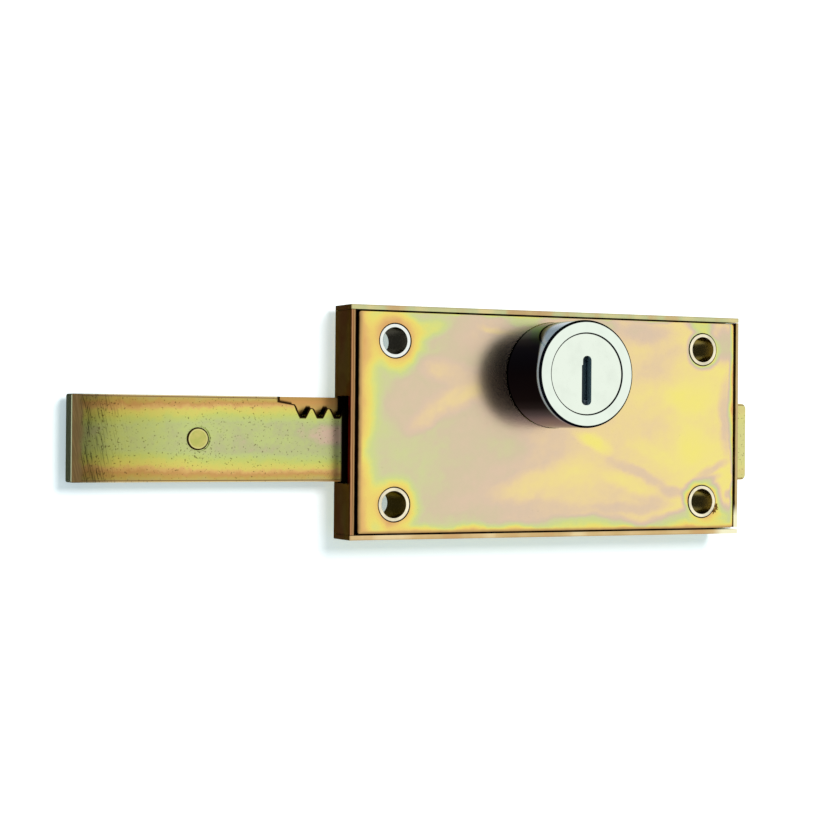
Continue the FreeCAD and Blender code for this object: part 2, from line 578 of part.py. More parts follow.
def make_barrel_flange():
    """The plate behind the cover that carries the barrel."""
    flange = new_body("barrel_flange", across="Places.case_across", up="Places.barrel_up")
    plate = new_sketch(flange, "plate", depth="Places.cover_back")
    add_rectangle(plate, "-Sizes.flange_width / 2", "Places.flange_high - Sizes.flange_height",
                  "Sizes.flange_width / 2", "Places.flange_high")
    pad(flange, plate, "Sizes.flange_metal")
    dress(flange, "Fillet", "corners", runs_in_depth, "Sizes.flange_corner")
    holes = new_sketch(flange, "holes", depth="Places.cover_back - Sizes.cut_clear")
    add_circle(holes, "Sizes.spigot_diameter + 2 * Sizes.thread_gap")
    for side in (-1, 1):
        add_circle(holes, "Sizes.screw_diameter + 2 * Sizes.thread_gap",
                   f"{side} * Sizes.flange_screw_across", "Sizes.flange_screw_up")
    cut(flange, holes, "Sizes.flange_metal + 2 * Sizes.cut_clear")
    return flange


def make_flange_pillars():
    """The two spacers between the flange and the tray's back, and their screws."""
    screws = []
    for name, side in (("left", -1), ("right", 1)):
        across = f"Places.case_across + {side} * Sizes.flange_screw_across"
        pillar = new_body(f"flange_pillar_{name}", across=across, up="Places.flange_screw_height")
        wall = new_sketch(pillar, "wall", depth="Places.flange_back")
        add_circle(wall, "Sizes.pillar_diameter")
        add_circle(wall, "Sizes.screw_diameter + 2 * Sizes.passing_gap")
        pad(pillar, wall, "Places.floor_front - Places.flange_back")
        screws.append(make_screw(f"flange_screw_{name}", across, "Places.flange_screw_height",
                                 "Places.cover_back + Sizes.part_gap"))
    group("flange_screws", screws)


def make_rear_bush():
    """The flanged bush in the tray's back that carries the plug's rear journal."""
    bush = new_body("rear_bush", across="Places.case_across", up="Places.barrel_up")
    bore = "Sizes.journal_diameter + 2 * Sizes.turning_gap"
    collar = new_sketch(bush, "collar", depth="Places.floor_front - Sizes.bush_rise")
    add_circle(collar, "Places.bush_collar")
    add_circle(collar, bore)
    pad(bush, collar, "Sizes.bush_rise")
    sleeve = new_sketch(bush, "sleeve", depth="Places.floor_front")
    add_circle(sleeve, "Places.bush_diameter")
    add_circle(sleeve, bore)
    pad(bush, sleeve, "Sizes.case_metal")
    return bush


def make_guide_brackets():
    """Two strap brackets that hold the bolt against the tray's back, and their rivets."""
    rivets = []
    for name, side in (("left", -1), ("right", 1)):
        across = f"Places.case_across + {side} * Places.bracket_across"
        bracket = new_body(f"guide_bracket_{name}", across=across)
        profile = new_sketch(bracket, "profile", depth="-Sizes.bracket_width / 2", role="YZ_Plane")
        top_outside = "Places.leg_top + Sizes.bracket_metal"
        low_outside = "Places.leg_bottom - Sizes.bracket_metal"
        add_outline(profile, (
            ("Places.bracket_front", low_outside), ("Places.bracket_front", top_outside),
            ("Places.foot_front", top_outside),
            ("Places.foot_front", f"{top_outside} + Sizes.bracket_foot"),
            ("Places.floor_front", f"{top_outside} + Sizes.bracket_foot"),
            ("Places.floor_front", "Places.leg_top"), ("Places.bracket_inside", "Places.leg_top"),
            ("Places.bracket_inside", "Places.leg_bottom"), ("Places.floor_front", "Places.leg_bottom"),
            ("Places.floor_front", f"{low_outside} - Sizes.bracket_foot"),
            ("Places.foot_front", f"{low_outside} - Sizes.bracket_foot"),
            ("Places.foot_front", low_outside)))
        strap = pad(bracket, profile, "Sizes.bracket_width")
        strap.Reversed = False
        doc.recompute()
        dress(bracket, "Fillet", "bends",
              lambda edge: at(edge.BoundBox.XLength, size("bracket_width"))
              and at(edge.BoundBox.YMin, place("bracket_front")), "Sizes.bracket_bend")
        holes = new_sketch(bracket, "holes", depth="Places.foot_front - Sizes.cut_clear")
        add_circle(holes, "Sizes.rivet_diameter", "0", "Places.rivet_top")
        add_circle(holes, "Sizes.rivet_diameter", "0", "Places.rivet_bottom")
        cut(bracket, holes, "Sizes.bracket_metal + 2 * Sizes.cut_clear")
        for end, up in (("top", "Places.rivet_top"), ("bottom", "Places.rivet_bottom")):
            rivets.append(make_rivet(f"guide_rivet_{name}_{end}", across, up))
    group("guide_rivets", rivets)


def make_rivet(name, across, up):
    """A rivet through a bracket's foot and the tray's back, with a low head on each side."""
    rivet = new_body(name, across=across, up=up, node=False)
    inner = new_sketch(rivet, "inner_head", depth="Places.foot_front - Sizes.rivet_rise")
    add_circle(inner, "Sizes.rivet_head")
    pad(rivet, inner, "Sizes.rivet_rise")
    shank = new_sketch(rivet, "shank", depth="Places.foot_front")
    add_circle(shank, "Sizes.rivet_diameter")
    pad(rivet, shank, "Sizes.case_depth - Places.foot_front")
    outer = new_sketch(rivet, "outer_head", depth="Sizes.case_depth")
    add_circle(outer, "Sizes.rivet_head")
    pad(rivet, outer, "Sizes.rivet_rise")
    ends = (place("foot_front") - size("rivet_rise"), size("case_depth") + size("rivet_rise"))
    dress(rivet, "Fillet", "crowns", lambda edge: any(lies_at_depth(edge, end) for end in ends),
          "Sizes.rivet_crown")
    return rivet


def make_plug():
    """The plug that the key turns: slotted for key and wafers, with a tail, a square and a journal."""
    plug = new_body("plug", across="Places.case_across", up="Places.barrel_up")
    core = new_sketch(plug, "core", depth="Places.plug_front")
    add_circle(core, "Sizes.plug_diameter")
    pad(plug, core, "Sizes.plug_shoulder - Places.plug_front")
    dress(plug, "Chamfer", "face_edge", lambda edge: lies_at_depth(edge, place("plug_front")),
          "Sizes.edge_break")
    tail = new_sketch(plug, "tail", depth="Sizes.plug_shoulder")
    add_circle(tail, "Sizes.tail_diameter")
    pad(plug, tail, "Places.pinion_front - Sizes.plug_shoulder")
    square = new_sketch(plug, "square", depth="Places.pinion_front")
    half = "Sizes.square_flats / 2"
    add_rectangle(square, f"-{half}", f"-{half}", half, half)
    pad(plug, square, "Places.pinion_back - Places.pinion_front")
    journal = new_sketch(plug, "journal", depth="Places.pinion_back")
    add_circle(journal, "Sizes.journal_diameter")
    pad(plug, journal, "Sizes.case_depth - Places.pinion_back")
    groove = new_sketch(plug, "clip_groove", depth="Places.clip_front - Sizes.clip_gap")
    add_circle(groove, "Sizes.journal_diameter + 2 * Sizes.cut_clear")
    add_circle(groove, "Places.clip_groove")
    cut(plug, groove, "Sizes.clip_metal + 2 * Sizes.clip_gap")

    mouth = new_sketch(plug, "slot_mouth", depth="Places.plug_front")
    left, right = "-Sizes.slot_width / 2", "Sizes.slot_width / 2"
    step = f"{left} + Sizes.slot_top_step"
    add_outline(mouth, ((left, "Places.slot_low"), (right, "Places.slot_low"), (right, "Places.slot_high"),
                        (step, "Places.slot_high"), (step, "Places.slot_step"), (left, "Places.slot_step")))
    cut(plug, mouth, "Sizes.slot_mouth")
    ends = (place("slot_low"), place("slot_high"))
    dress(plug, "Fillet", "slot_ends",
          lambda edge: runs_in_depth(edge) and at(edge.BoundBox.YLength, size("slot_mouth"))
          and any(at(edge.BoundBox.ZMin, end) for end in ends), "Sizes.slot_end_round")

    keyway = new_sketch(plug, "keyway", depth="Places.plug_front + Sizes.slot_mouth")
    inset = "Sizes.part_gap"
    add_rectangle(keyway, f"{right} - Sizes.keyway_width", f"Places.slot_low + {inset}", right,
                  f"Places.slot_high - {inset}")
    cut(plug, keyway, "-Places.plug_front - Sizes.slot_mouth - Sizes.part_gap")

    slot = new_sketch(plug, "wafer_slot", depth="Places.wafer_first")
    half_width = "(Sizes.wafer_width / 2 + Sizes.wafer_gap)"
    reach = "Sizes.plug_diameter"
    channel = "Places.lug_edge + Sizes.wafer_gap"
    add_outline(slot, ((f"-{half_width}", f"-{reach}"), (half_width, f"-{reach}"),
                       (half_width, "Places.spring_seat"), (channel, "Places.spring_seat"),
                       (channel, reach), (f"-{half_width}", reach)))
    first = cut(plug, slot, "Places.wafer_slot")
    repeat(plug, first, "Y_Axis", "Places.wafer_row", "Sizes.wafer_count")
    return plug


def make_wafers():
    """The sprung wafers that block the plug until the right key lines them up."""
    for number in range(1, int(size("wafer_count")) + 1):
        cuts = BITTING[(number - 1) % len(BITTING)]
        front = f"Places.wafer_first + {number - 1} * Sizes.wafer_pitch + Sizes.wafer_gap"
        wafer = new_body(f"wafer_{number}", across="Places.case_across", up="Places.barrel_up", depth=front)
        disc = new_sketch(wafer, "disc")
        add_circle(disc, "2 * Places.wafer_radius")
        pad(wafer, disc, "Sizes.wafer_metal")
        sides = new_sketch(wafer, "sides", depth="-Sizes.cut_clear")
        half, far = "Sizes.wafer_width / 2", "Sizes.plug_diameter"
        lug_top = "Sizes.lug_base + Sizes.lug_height"
        add_rectangle(sides, f"-{far}", f"-{far}", f"-{half}", far)
        add_outline(sides, ((half, f"-{far}"), (far, f"-{far}"), (far, far), (half, far), (half, lug_top),
                            ("Places.lug_edge", lug_top), ("Places.lug_edge", "Sizes.lug_base"),
                            (half, "Sizes.lug_base")))
        cut(wafer, sides, "Sizes.wafer_metal + 2 * Sizes.cut_clear")
        window = new_sketch(wafer, "window", depth="-Sizes.cut_clear")
        low = f"{cuts} * Sizes.cut_step - Sizes.slot_drop - Sizes.window_height / 2"
        add_rectangle(window, "-Sizes.window_width / 2", low, "Sizes.window_width / 2",
                      f"{low} + Sizes.window_height")
        cut(wafer, window, "Sizes.wafer_metal + 2 * Sizes.cut_clear")


def helix_arc(start, start_way, end, end_way):
    """Two arcs that join two points of a coil with the given directions there."""
    across = end - start
    ways = start_way + end_way
    a = ways.dot(ways) - 4
    b = -2 * across.dot(ways)
    reach = (-b - math.sqrt(b * b - 4 * a * across.dot(across))) / (2 * a)
    knee, other = start + start_way * reach, end - end_way * reach
    middle = (knee + other) * 0.5
    arcs = []
    for low, corner, high in ((start, knee, middle), (middle, other, end)):
        half_turn = (corner - low).getAngle(high - low)
        weight = math.cos(half_turn)
        crown = (low + corner * (2 * weight) + high) * (1 / (2 * (1 + weight)))
        arcs.append(Part.Arc(low, crown, high).toShape())
    return arcs


def make_wafer_springs():
    """One coil spring under each wafer's lug, wound in quarter turns."""
    radius, wire, turns = size("spring_coil") / 2, size("spring_wire"), size("spring_turns")
    rise = size("spring_length") - wire - 2 * size("thread_gap")
    pitch = rise / turns
    print(f"wafer spring: least gap between its turns {pitch - wire:.2f} mm")
    quarters = int(round(turns * 4))

    def point(quarter):
        turn = quarter * math.pi / 2
        return FreeCAD.Vector(radius * math.cos(turn), radius * math.sin(turn), pitch * quarter / 4)

    def way(quarter):
        turn = quarter * math.pi / 2
        along = FreeCAD.Vector(-radius * math.sin(turn), radius * math.cos(turn), pitch / (2 * math.pi))
        return along.normalize()

    edges = []
    for quarter in range(quarters):
        edges += helix_arc(point(quarter), way(quarter), point(quarter + 1), way(quarter + 1))
    path = Part.Wire(edges)
    section = Part.Wire([Part.Circle(point(0), way(0), wire / 2).toShape()])
    coil = path.makePipeShell([section], True, False)
    for number in range(1, int(size("wafer_count")) + 1):
        spring = doc.addObject("Part::Feature", f"wafer_spring_{number}")
        spring.Label = f"wafer_spring_{number}"
        spring.Shape = coil.copy()
        depth = place("wafer_first") + (number - 1) * size("wafer_pitch") + place("wafer_slot") / 2
        foot = place("barrel_up") + place("spring_seat") + wire / 2 + size("thread_gap")
        across = place("case_across") + place("spring_across")
        spring.Placement = FreeCAD.Placement(FreeCAD.Vector(across, depth, foot), FreeCAD.Rotation())
        nodes.append(spring)


def make_pinion():
    """The involute pinion on the plug's square, turned so that a tooth stands in a rack space."""
    teeth = int(size("pinion_teeth"))
    pitch_radius = place("pitch_radius")
    slope = math.radians(20)
    base_radius = pitch_radius * math.cos(slope)
    tip_radius = pitch_radius + size("pinion_tip")
    root_radius = pitch_radius - size("tooth_root")
    half_tooth = (place("tooth_pitch") / 2 - size("tooth_slack")) / (2 * pitch_radius)
    involute_at_pitch = math.tan(slope) - slope

    def flank(radius, side, centre):
        """A point of a flank; below the base circle the flank is radial."""
        turn = math.acos(min(1.0, base_radius / radius))
        lean = half_tooth + involute_at_pitch - (math.tan(turn) - turn)
        return spot(radius, centre + side * lean)

    def spot(radius, angle):
        """A point at an angle from straight down, positive to the right."""
        return FreeCAD.Vector(radius * math.sin(angle), 0, -radius * math.cos(angle))

    space_beside_axis = (place("rack_start") - place("bolt_axis")) % place("tooth_pitch")
    phase = space_beside_axis / pitch_radius
    middle_radius = (base_radius + tip_radius) / 2
    edges = []
    for tooth in range(teeth):
        centre = phase + 2 * math.pi * tooth / teeth
        after = centre + 2 * math.pi / teeth
        low_left, low_right = flank(base_radius, -1, centre), flank(base_radius, 1, centre)
        tip_left, tip_right = flank(tip_radius, -1, centre), flank(tip_radius, 1, centre)
        low_turn = half_tooth + involute_at_pitch
        root_left = spot(root_radius, centre - low_turn)
        root_right = spot(root_radius, centre + low_turn)
        next_root = spot(root_radius, after - low_turn)
        edges += [
            Part.LineSegment(root_left, low_left).toShape(),
            Part.Arc(low_left, flank(middle_radius, -1, centre), tip_left).toShape(),
            Part.Arc(tip_left, spot(tip_radius, centre), tip_right).toShape(),
            Part.Arc(tip_right, flank(middle_radius, 1, centre), low_right).toShape(),
            Part.LineSegment(low_right, root_right).toShape(),
            Part.Arc(root_right, spot(root_radius, (centre + after) / 2), next_root).toShape(),
        ]
    face = Part.Face(Part.Wire(Part.__sortEdges__(edges)))
    thickness = place("pinion_back") - place("pinion_front")
    blank = face.extrude(FreeCAD.Vector(0, thickness, 0))
    side = size("square_flats") + 2 * size("turning_gap")
    hole = Part.makeBox(side, thickness, side, FreeCAD.Vector(-side / 2, 0, -side / 2))
    pinion = doc.addObject("Part::Feature", "pinion")
    pinion.Label = "pinion"
    pinion.Shape = blank.cut(hole)
    pinion.Placement = FreeCAD.Placement(
        FreeCAD.Vector(place("case_across"), place("pinion_front"), place("barrel_up")), FreeCAD.Rotation())
    nodes.append(pinion)


def make_pinion_washer():
    """The washer behind the pinion."""
    washer = new_body("pinion_washer", across="Places.case_across", up="Places.barrel_up")
    ring = new_sketch(washer, "ring", depth="Places.washer_front")
    add_circle(ring, "Sizes.washer_diameter")
    add_circle(ring, "Sizes.journal_diameter + 2 * Sizes.turning_gap")
    pad(washer, ring, "Sizes.washer_metal")
    return washer


def make_retaining_ring():
    """The open ring in the journal's groove that keeps the pinion on."""
    clip = new_body("retaining_ring", across="Places.case_across", up="Places.barrel_up")
    ring = new_sketch(clip, "ring", depth="Places.clip_front")
    add_circle(ring, "Places.clip_diameter")
    add_circle(ring, "Places.clip_groove + 2 * Sizes.thread_gap")
    pad(clip, ring, "Sizes.clip_metal")
    mouth = new_sketch(clip, "mouth", depth="Places.clip_front - Sizes.cut_clear")
    add_rectangle(mouth, "-Sizes.clip_mouth / 2", "0", "Sizes.clip_mouth / 2", "Places.clip_diameter")
    cut(clip, mouth, "Sizes.clip_metal + 2 * Sizes.cut_clear")
    return clip


def make_bolt_bar():
    """The flat bolt, with the rack cut into the front of its upper edge."""
    bar = new_body("bolt_bar", across="Places.bolt_left", up="Places.bolt_top")
    outline = new_sketch(bar, "outline", depth="Places.bolt_front")
    add_rectangle(outline, "0", "-Places.bolt_height", "Places.bolt_length", "0")
    pad(bar, outline, "Sizes.bolt_metal")
    length = place("bolt_length")
    dress(bar, "Fillet", "nose", lambda edge: runs_in_depth(edge) and at(edge.BoundBox.XMax, 0),
          "Sizes.bolt_nose_round")
    dress(bar, "Fillet", "tail", lambda edge: runs_in_depth(edge) and at(edge.BoundBox.XMin, length),
          "Sizes.bolt_tail_round")
    faces = (place("bolt_front"), place("bolt_back"))
    dress(bar, "Fillet", "edges", lambda edge: any(lies_at_depth(edge, face) for face in faces),
          "Sizes.bolt_edge_round")

    hole = new_sketch(bar, "pin_hole", depth="Places.bolt_front - Sizes.cut_clear")
    add_circle(hole, "Sizes.pin_diameter", "Sizes.pin_place", "-Places.bolt_height / 2")
    cut(bar, hole, "Sizes.bolt_metal + 2 * Sizes.cut_clear")
    groove = new_sketch(bar, "pin_groove", depth="Places.bolt_front - Sizes.cut_clear")
    add_circle(groove, "Sizes.pin_diameter + 2 * Sizes.pin_groove", "Sizes.pin_place",
               "-Places.bolt_height / 2")
    cut(bar, groove, "Sizes.cut_clear + Sizes.pin_groove")

    pocket = new_sketch(bar, "rack_pocket", depth="Places.bolt_front - Sizes.cut_clear")
    far = "Places.rack_start - Sizes.ramp_far"
    near = "Places.rack_start - Sizes.ramp_near"
    foot = "Places.rack_start - Sizes.ramp_foot"
    crest = "-Places.crest_depth"
    add_outline(pocket, ((far, "Sizes.cut_clear"), (far, "-Sizes.ramp_shallow"), (near, "-Sizes.ramp_deep"),
                         (foot, crest), ("Places.rack_end", crest), ("Places.rack_end", "Sizes.cut_clear")))
    cut(bar, pocket, "Sizes.cut_clear + Sizes.rack_layer")

    space = new_sketch(bar, "tooth_space", depth="Places.bolt_front - Sizes.cut_clear")
    middle = "(Places.tooth_pitch / 4 + Sizes.tooth_slack / 2)"
    open_half = f"({middle} + (Sizes.rack_tip + Sizes.cut_clear / 2) * tan(20 deg))"
    root_half = f"({middle} - Sizes.rack_root * tan(20 deg))"
    bottom = "-Places.root_depth"
    add_outline(space, ((f"Places.rack_start - {open_half}", f"{crest} + Sizes.cut_clear / 2"),
                        (f"Places.rack_start - {root_half}", bottom),
                        (f"Places.rack_start + {root_half}", bottom),
                        (f"Places.rack_start + {open_half}", f"{crest} + Sizes.cut_clear / 2")))
    first = cut(bar, space, "Sizes.cut_clear + Sizes.rack_layer")
    repeat(bar, first, "X_Axis", "Places.rack_row", "Places.rack_spaces")

    crest_depth, root_depth = place("crest_depth"), place("root_depth")
    row_start = place("rack_start") - size("ramp_near")
    row_end = place("rack_start") + place("rack_row") + place("tooth_pitch") / 2
    dress(bar, "Fillet", "roots",
          lambda edge: runs_in_depth(edge) and at(edge.BoundBox.ZMin, -root_depth), "Sizes.root_round")
    dress(bar, "Fillet", "crests",
          lambda edge: runs_in_depth(edge) and row_start < edge.BoundBox.XMin < row_end
          and -crest_depth - SAME < edge.BoundBox.ZMin < -size("ramp_deep") - SAME, "Sizes.crest_round")
    return bar


def make_bolt_pin():
    """The hardened pin pressed through the bolt against sawing."""
    pin = new_body("bolt_pin", across="Places.bolt_left + Sizes.pin_place",
                   up="Places.bolt_top - Places.bolt_height / 2")
    shank = new_sketch(pin, "shank", depth="Places.bolt_front")
    add_circle(shank, "Sizes.pin_diameter - 2 * Sizes.thread_gap")
    pad(pin, shank, "Sizes.bolt_metal")
    dress(pin, "Fillet", "front_edge", lambda edge: lies_at_depth(edge, place("bolt_front")),
          "Sizes.rim_round")
    return pin


def check_document():
    """Stops before anything is written if a piece failed."""
    doc.recompute()
    for item in doc.Objects:
        if "Invalid" in item.State or "Error" in item.State:
            raise RuntimeError(f"{item.Name} failed: {item.State}")
    for node in nodes:
        if node.Shape.isNull() or not node.Shape.isValid():
            raise RuntimeError(f"{node.Label} has no valid shape")


def write_parts():
    """Writes each node's shape under its own name."""
    os.makedirs("parts", exist_ok=True)
    for node in nodes:
        node.Shape.exportStep(os.path.join("parts", f"{node.Label}.step"))
        print(f"{node.Label}: {len(node.Shape.Solids)} solid(s), {node.Shape.Volume:.1f} mm3")


make_case_tray()
make_cover_plate()
for corner in CORNERS:
    make_fixing_tube(*corner)
make_cover_pillars()
make_barrel_shell()
make_barrel_flange()
make_flange_pillars()
make_rear_bush()
make_guide_brackets()
make_plug()
make_wafers()
make_wafer_springs()
make_pinion()
make_pinion_washer()
make_retaining_ring()
make_bolt_bar()
make_bolt_pin()
check_document()
write_parts()
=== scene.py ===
"""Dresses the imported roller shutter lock: metal finishes, smoothed forms, small marks, studio and camera.

Lengths are in metres in the row frame (X to the right along the bolt, Y from the mounting face into the
case, Z up). Patterns on the metal are laid out in millimetres of that frame.
"""

import json
import logging
import math
from collections.abc import Sequence
from dataclasses import dataclass
from enum import Enum

import bmesh
import bpy
from mathutils import Matrix, Vector

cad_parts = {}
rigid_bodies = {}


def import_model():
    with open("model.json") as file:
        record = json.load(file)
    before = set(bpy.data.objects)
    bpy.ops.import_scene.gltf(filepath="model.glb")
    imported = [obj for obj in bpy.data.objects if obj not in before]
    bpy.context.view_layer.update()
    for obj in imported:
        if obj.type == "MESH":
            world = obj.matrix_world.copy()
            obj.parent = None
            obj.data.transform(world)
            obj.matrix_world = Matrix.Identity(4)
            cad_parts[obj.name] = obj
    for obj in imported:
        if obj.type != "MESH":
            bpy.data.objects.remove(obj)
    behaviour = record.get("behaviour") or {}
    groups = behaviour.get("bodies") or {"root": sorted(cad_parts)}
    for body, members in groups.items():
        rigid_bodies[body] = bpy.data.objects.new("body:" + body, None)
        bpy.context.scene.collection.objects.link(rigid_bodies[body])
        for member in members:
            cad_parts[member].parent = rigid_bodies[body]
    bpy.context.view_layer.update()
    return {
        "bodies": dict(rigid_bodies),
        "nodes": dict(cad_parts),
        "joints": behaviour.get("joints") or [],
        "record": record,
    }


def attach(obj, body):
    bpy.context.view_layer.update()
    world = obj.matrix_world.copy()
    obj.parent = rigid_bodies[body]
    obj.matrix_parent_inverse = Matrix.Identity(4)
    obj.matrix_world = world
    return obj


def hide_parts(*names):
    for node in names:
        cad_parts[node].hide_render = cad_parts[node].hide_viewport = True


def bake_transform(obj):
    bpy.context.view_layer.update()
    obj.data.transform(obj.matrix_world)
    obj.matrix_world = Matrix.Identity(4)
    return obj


LOG = logging.getLogger("lock")
MM = 0.001
ENDLESS = 1e6
WHITE = (1.0, 1.0, 1.0)
Triple = tuple[float, float, float]
Stops = Sequence[tuple[float, Triple]]
Number = "Value | float"
Shade = "Value | Triple"
Layer = tuple["Value", Shade]


def srgb(red: float, green: float, blue: float) -> Triple:
    """Turns a screen colour, whose parts go up to 255, into the linear one that shaders take."""
    parts = [part / 255 for part in (red, green, blue)]
    return tuple(part / 12.92 if part <= 0.04045 else ((part + 0.055) / 1.055) ** 2.4 for part in parts)


# Patterns


class Value:
    """The output of a node: a number, colour or vector that varies over a surface, a shader or a shape."""

    def __init__(self, pattern: "Pattern", socket: bpy.types.NodeSocket) -> None:
        """Wraps a node's output socket."""
        self.pattern = pattern
        self.socket = socket

    def then(self, operation: str, *others: Number) -> "Value":
        """One step of arithmetic from here."""
        return self.pattern.math(operation, self, *others)

    def __add__(self, other: Number) -> "Value":
        """Sum."""
        return self.then("ADD", other)

    def __sub__(self, other: Number) -> "Value":
        """Difference."""
        return self.then("SUBTRACT", other)

    def __rsub__(self, other: float) -> "Value":
        """Difference from a plain number."""
        return self.pattern.math("SUBTRACT", other, self)

    def __mul__(self, other: Number) -> "Value":
        """Product."""
        return self.then("MULTIPLY", other)

    def __truediv__(self, other: Number) -> "Value":
        """Quotient."""
        return self.then("DIVIDE", other)

    __radd__ = __add__
    __rmul__ = __mul__

    def size(self) -> "Value":
        """Size without its sign."""
        return self.then("ABSOLUTE")

    def least(self, other: Number) -> "Value":
        """The smaller of two."""
        return self.then("MINIMUM", other)

    def most(self, other: Number) -> "Value":
        """The larger of two."""
        return self.then("MAXIMUM", other)

    def rise(self, low: float, high: float, end: float = 1.0) -> "Value":
        """Goes smoothly from 0 to an end while this goes from low to high.

        Args:
            low: where it is still 0.
            high: where it reaches the end, on either side of low.
            end: what it reaches.

        Returns:
            The number between 0 and the end.
        """
        first, last, start, stop = (low, high, 0.0, end) if low < high else (high, low, end, 0.0)
        span = {"From Min": first, "From Max": last, "To Min": start, "To Max": stop}
        return self.pattern.made("MapRange", {"Value": self, **span}, "Result",
                                 interpolation_type="SMOOTHSTEP")

    def parts(self) -> "tuple[Value, Value, Value]":
        """The three coordinates of a vector."""
        split = self.pattern.made("SeparateXYZ", {0: self})
        return tuple(Value(self.pattern, output) for output in split.socket.node.outputs)

    def laid(self, stretch: Triple, tilt: float = 0.0, centre: Triple = (0, 0, 0)) -> "Value":
        """A position seen from a centre, turned by degrees from X towards Z and divided by a stretch."""
        turn = (0.0, -math.radians(tilt), 0.0)
        return self.pattern.made("Mapping", {
            "Vector": self, "Location": centre, "Rotation": turn, "Scale": stretch}, vector_type="TEXTURE")

    def away(self, across: float, up: float, wide: float = 1.0, high: float = 1.0,
             tilt: float = 0.0) -> "Value":
        """Distance from a spot in the XZ plane, which is 1 on an ellipse of those half axes round it."""
        laid = self.laid((wide, ENDLESS, high), tilt, (across, 0, up))
        return self.pattern.made("VectorMath", {0: laid}, "Value", operation="LENGTH")

    def noise(self, grain: float, seed: float, detail: float = 3.0, output: str = "Fac") -> "Value":
        """Noise of about 0.5 with clouds as large as the grain: one as Fac, a vector of three as Color."""
        return self.pattern.made("TexNoise", {
            "Vector": self, "Scale": 1 / grain, "W": seed, "Detail": detail}, output, noise_dimensions="4D")

    def pushed(self, grain: float, seed: float, reach: float) -> "Value":
        """A position pushed about by noise, so that shapes laid on it come out uneven.

        Args:
            grain: size of one push, in millimetres.
            seed: picks the noise.
            reach: how far it pushes, in millimetres.

        Returns:
            The pushed position.
        """
        push = self.noise(grain, seed, detail=2.0, output="Color")
        centred = self.pattern.along("SUBTRACT", push, (0.5, 0.5, 0.5))
        return self.pattern.along("MULTIPLY_ADD", centred, (2 * reach,) * 3, self)

    # The Mix node's sockets are picked by place, because those of all its kinds have the same names

    def between(self, first: Number, last: Number) -> "Value":
        """A number that goes from first to last as this goes from 0 to 1."""
        return self.pattern.made("Mix", {0: self, 2: first, 3: last}, data_type="FLOAT")

    def mixed(self, first: Shade, last: Shade) -> "Value":
        """A linear colour that goes from first to last as this goes from 0 to 1."""
        ends = [end if isinstance(end, Value) else (*end, 1.0) for end in (first, last)]
        return self.pattern.made("Mix", {0: self, 6: ends[0], 7: ends[1]}, 2, data_type="RGBA")

    def tinted(self, first: Shade, last: Shade) -> "Value":
        """A colour that goes from first to last likewise, where plain ones are screen colours."""
        return self.mixed(*(end if isinstance(end, Value) else srgb(*end) for end in (first, last)))

    def blended(self, first: "Value", last: "Value") -> "Value":
        """A shader that goes from first to last as this goes from 0 to 1."""
        return self.pattern.made("MixShader", {0: self, 1: first, 2: last})

    def layered(self, *layers: Layer) -> "Value":
        """Lays further colours over this one.

        Args:
            layers: for each, where it covers, 0 to 1, and its screen colour.

        Returns:
            The colour that shows.
        """
        colour = self
        for share, over in layers:
            colour = share.tinted(colour, over)
        return colour

    def ramp(self, stops: Stops) -> "Value":
        """Colour picked from a row of stops, 0 to 1 along the row.

        Args:
            stops: place along the row and screen colour of each stop, in order.

        Returns:
            The colour.
        """
        picked = self.pattern.made("ValToRGB", {0: self})
        row = picked.socket.node.color_ramp.elements
        while len(row) < len(stops):
            row.new(1.0)
        for stop, (position, colour) in zip(row, stops):
            stop.position = position
            stop.color = (*srgb(*colour), 1.0)
        return picked

    def bump(self, depth: float) -> "Value":
        """Surface direction over a relief of this height, 0 to 1, and that depth in millimetres."""
        return self.pattern.made("Bump", {"Distance": depth * MM, "Height": self})


class Pattern:
    """Builds a node tree: that of a material, a world or a form."""

    family = "ShaderNode"

    def __init__(self, tree: bpy.types.NodeTree) -> None:
        """Starts from an empty tree."""
        self.tree = tree
        tree.nodes.clear()

    def made(self, kind: str, inputs: dict[str | int, object] | None = None, output: str | int = 0,
             **settings: object) -> Value:
        """Adds a node, sets its properties, and links or sets its inputs.

        Args:
            kind: the node's type name, which may leave out the tree's family.
            inputs: value or plain setting of each input, by the input's name or place.
            output: name or place of the output that is wanted.
            settings: properties of the node.

        Returns:
            That output.
        """
        node = self.tree.nodes.new(kind if "Node" in kind else self.family + kind)
        for name, value in settings.items():
            setattr(node, name, value)
        for name, value in (inputs or {}).items():
            if isinstance(value, Value):
                self.tree.links.new(value.socket, node.inputs[name])
            else:
                node.inputs[name].default_value = value
        return Value(self, node.outputs[output])

    def math(self, operation: str, *values: Number) -> Value:
        """One step of arithmetic."""
        return self.made("Math", dict(enumerate(values)), operation=operation)

    def along(self, operation: str, *vectors: Shade) -> Value:
        """One step of arithmetic with vectors."""
        return self.made("VectorMath", dict(enumerate(vectors)), operation=operation)

    def place(self) -> Value:
        """Position in the row frame, in millimetres."""
        position = self.made("TexCoord", output="Object")
        return self.made("VectorMath", {0: position, "Scale": 1 / MM}, operation="SCALE")

    def ray(self, kind: str) -> Value:
        """Whether the light path is at a ray of that kind."""
        return self.made("LightPath", output=f"Is {kind} Ray")

    def clear(self) -> Value:
        """A shader that lets everything through."""
        return self.made("BsdfTransparent")

    def end(self, kind: str, last: Value) -> None:
        """Ends the tree in an output node of that kind."""
        self.tree.links.new(last.socket, self.tree.nodes.new(kind).inputs[0])


def drawn_on(owner: "bpy.types.Material | bpy.types.World") -> Pattern:
    """Empties the node tree of a material or a world, to be built anew."""
    owner.use_nodes = True
    return Pattern(owner.node_tree)


# Finishes


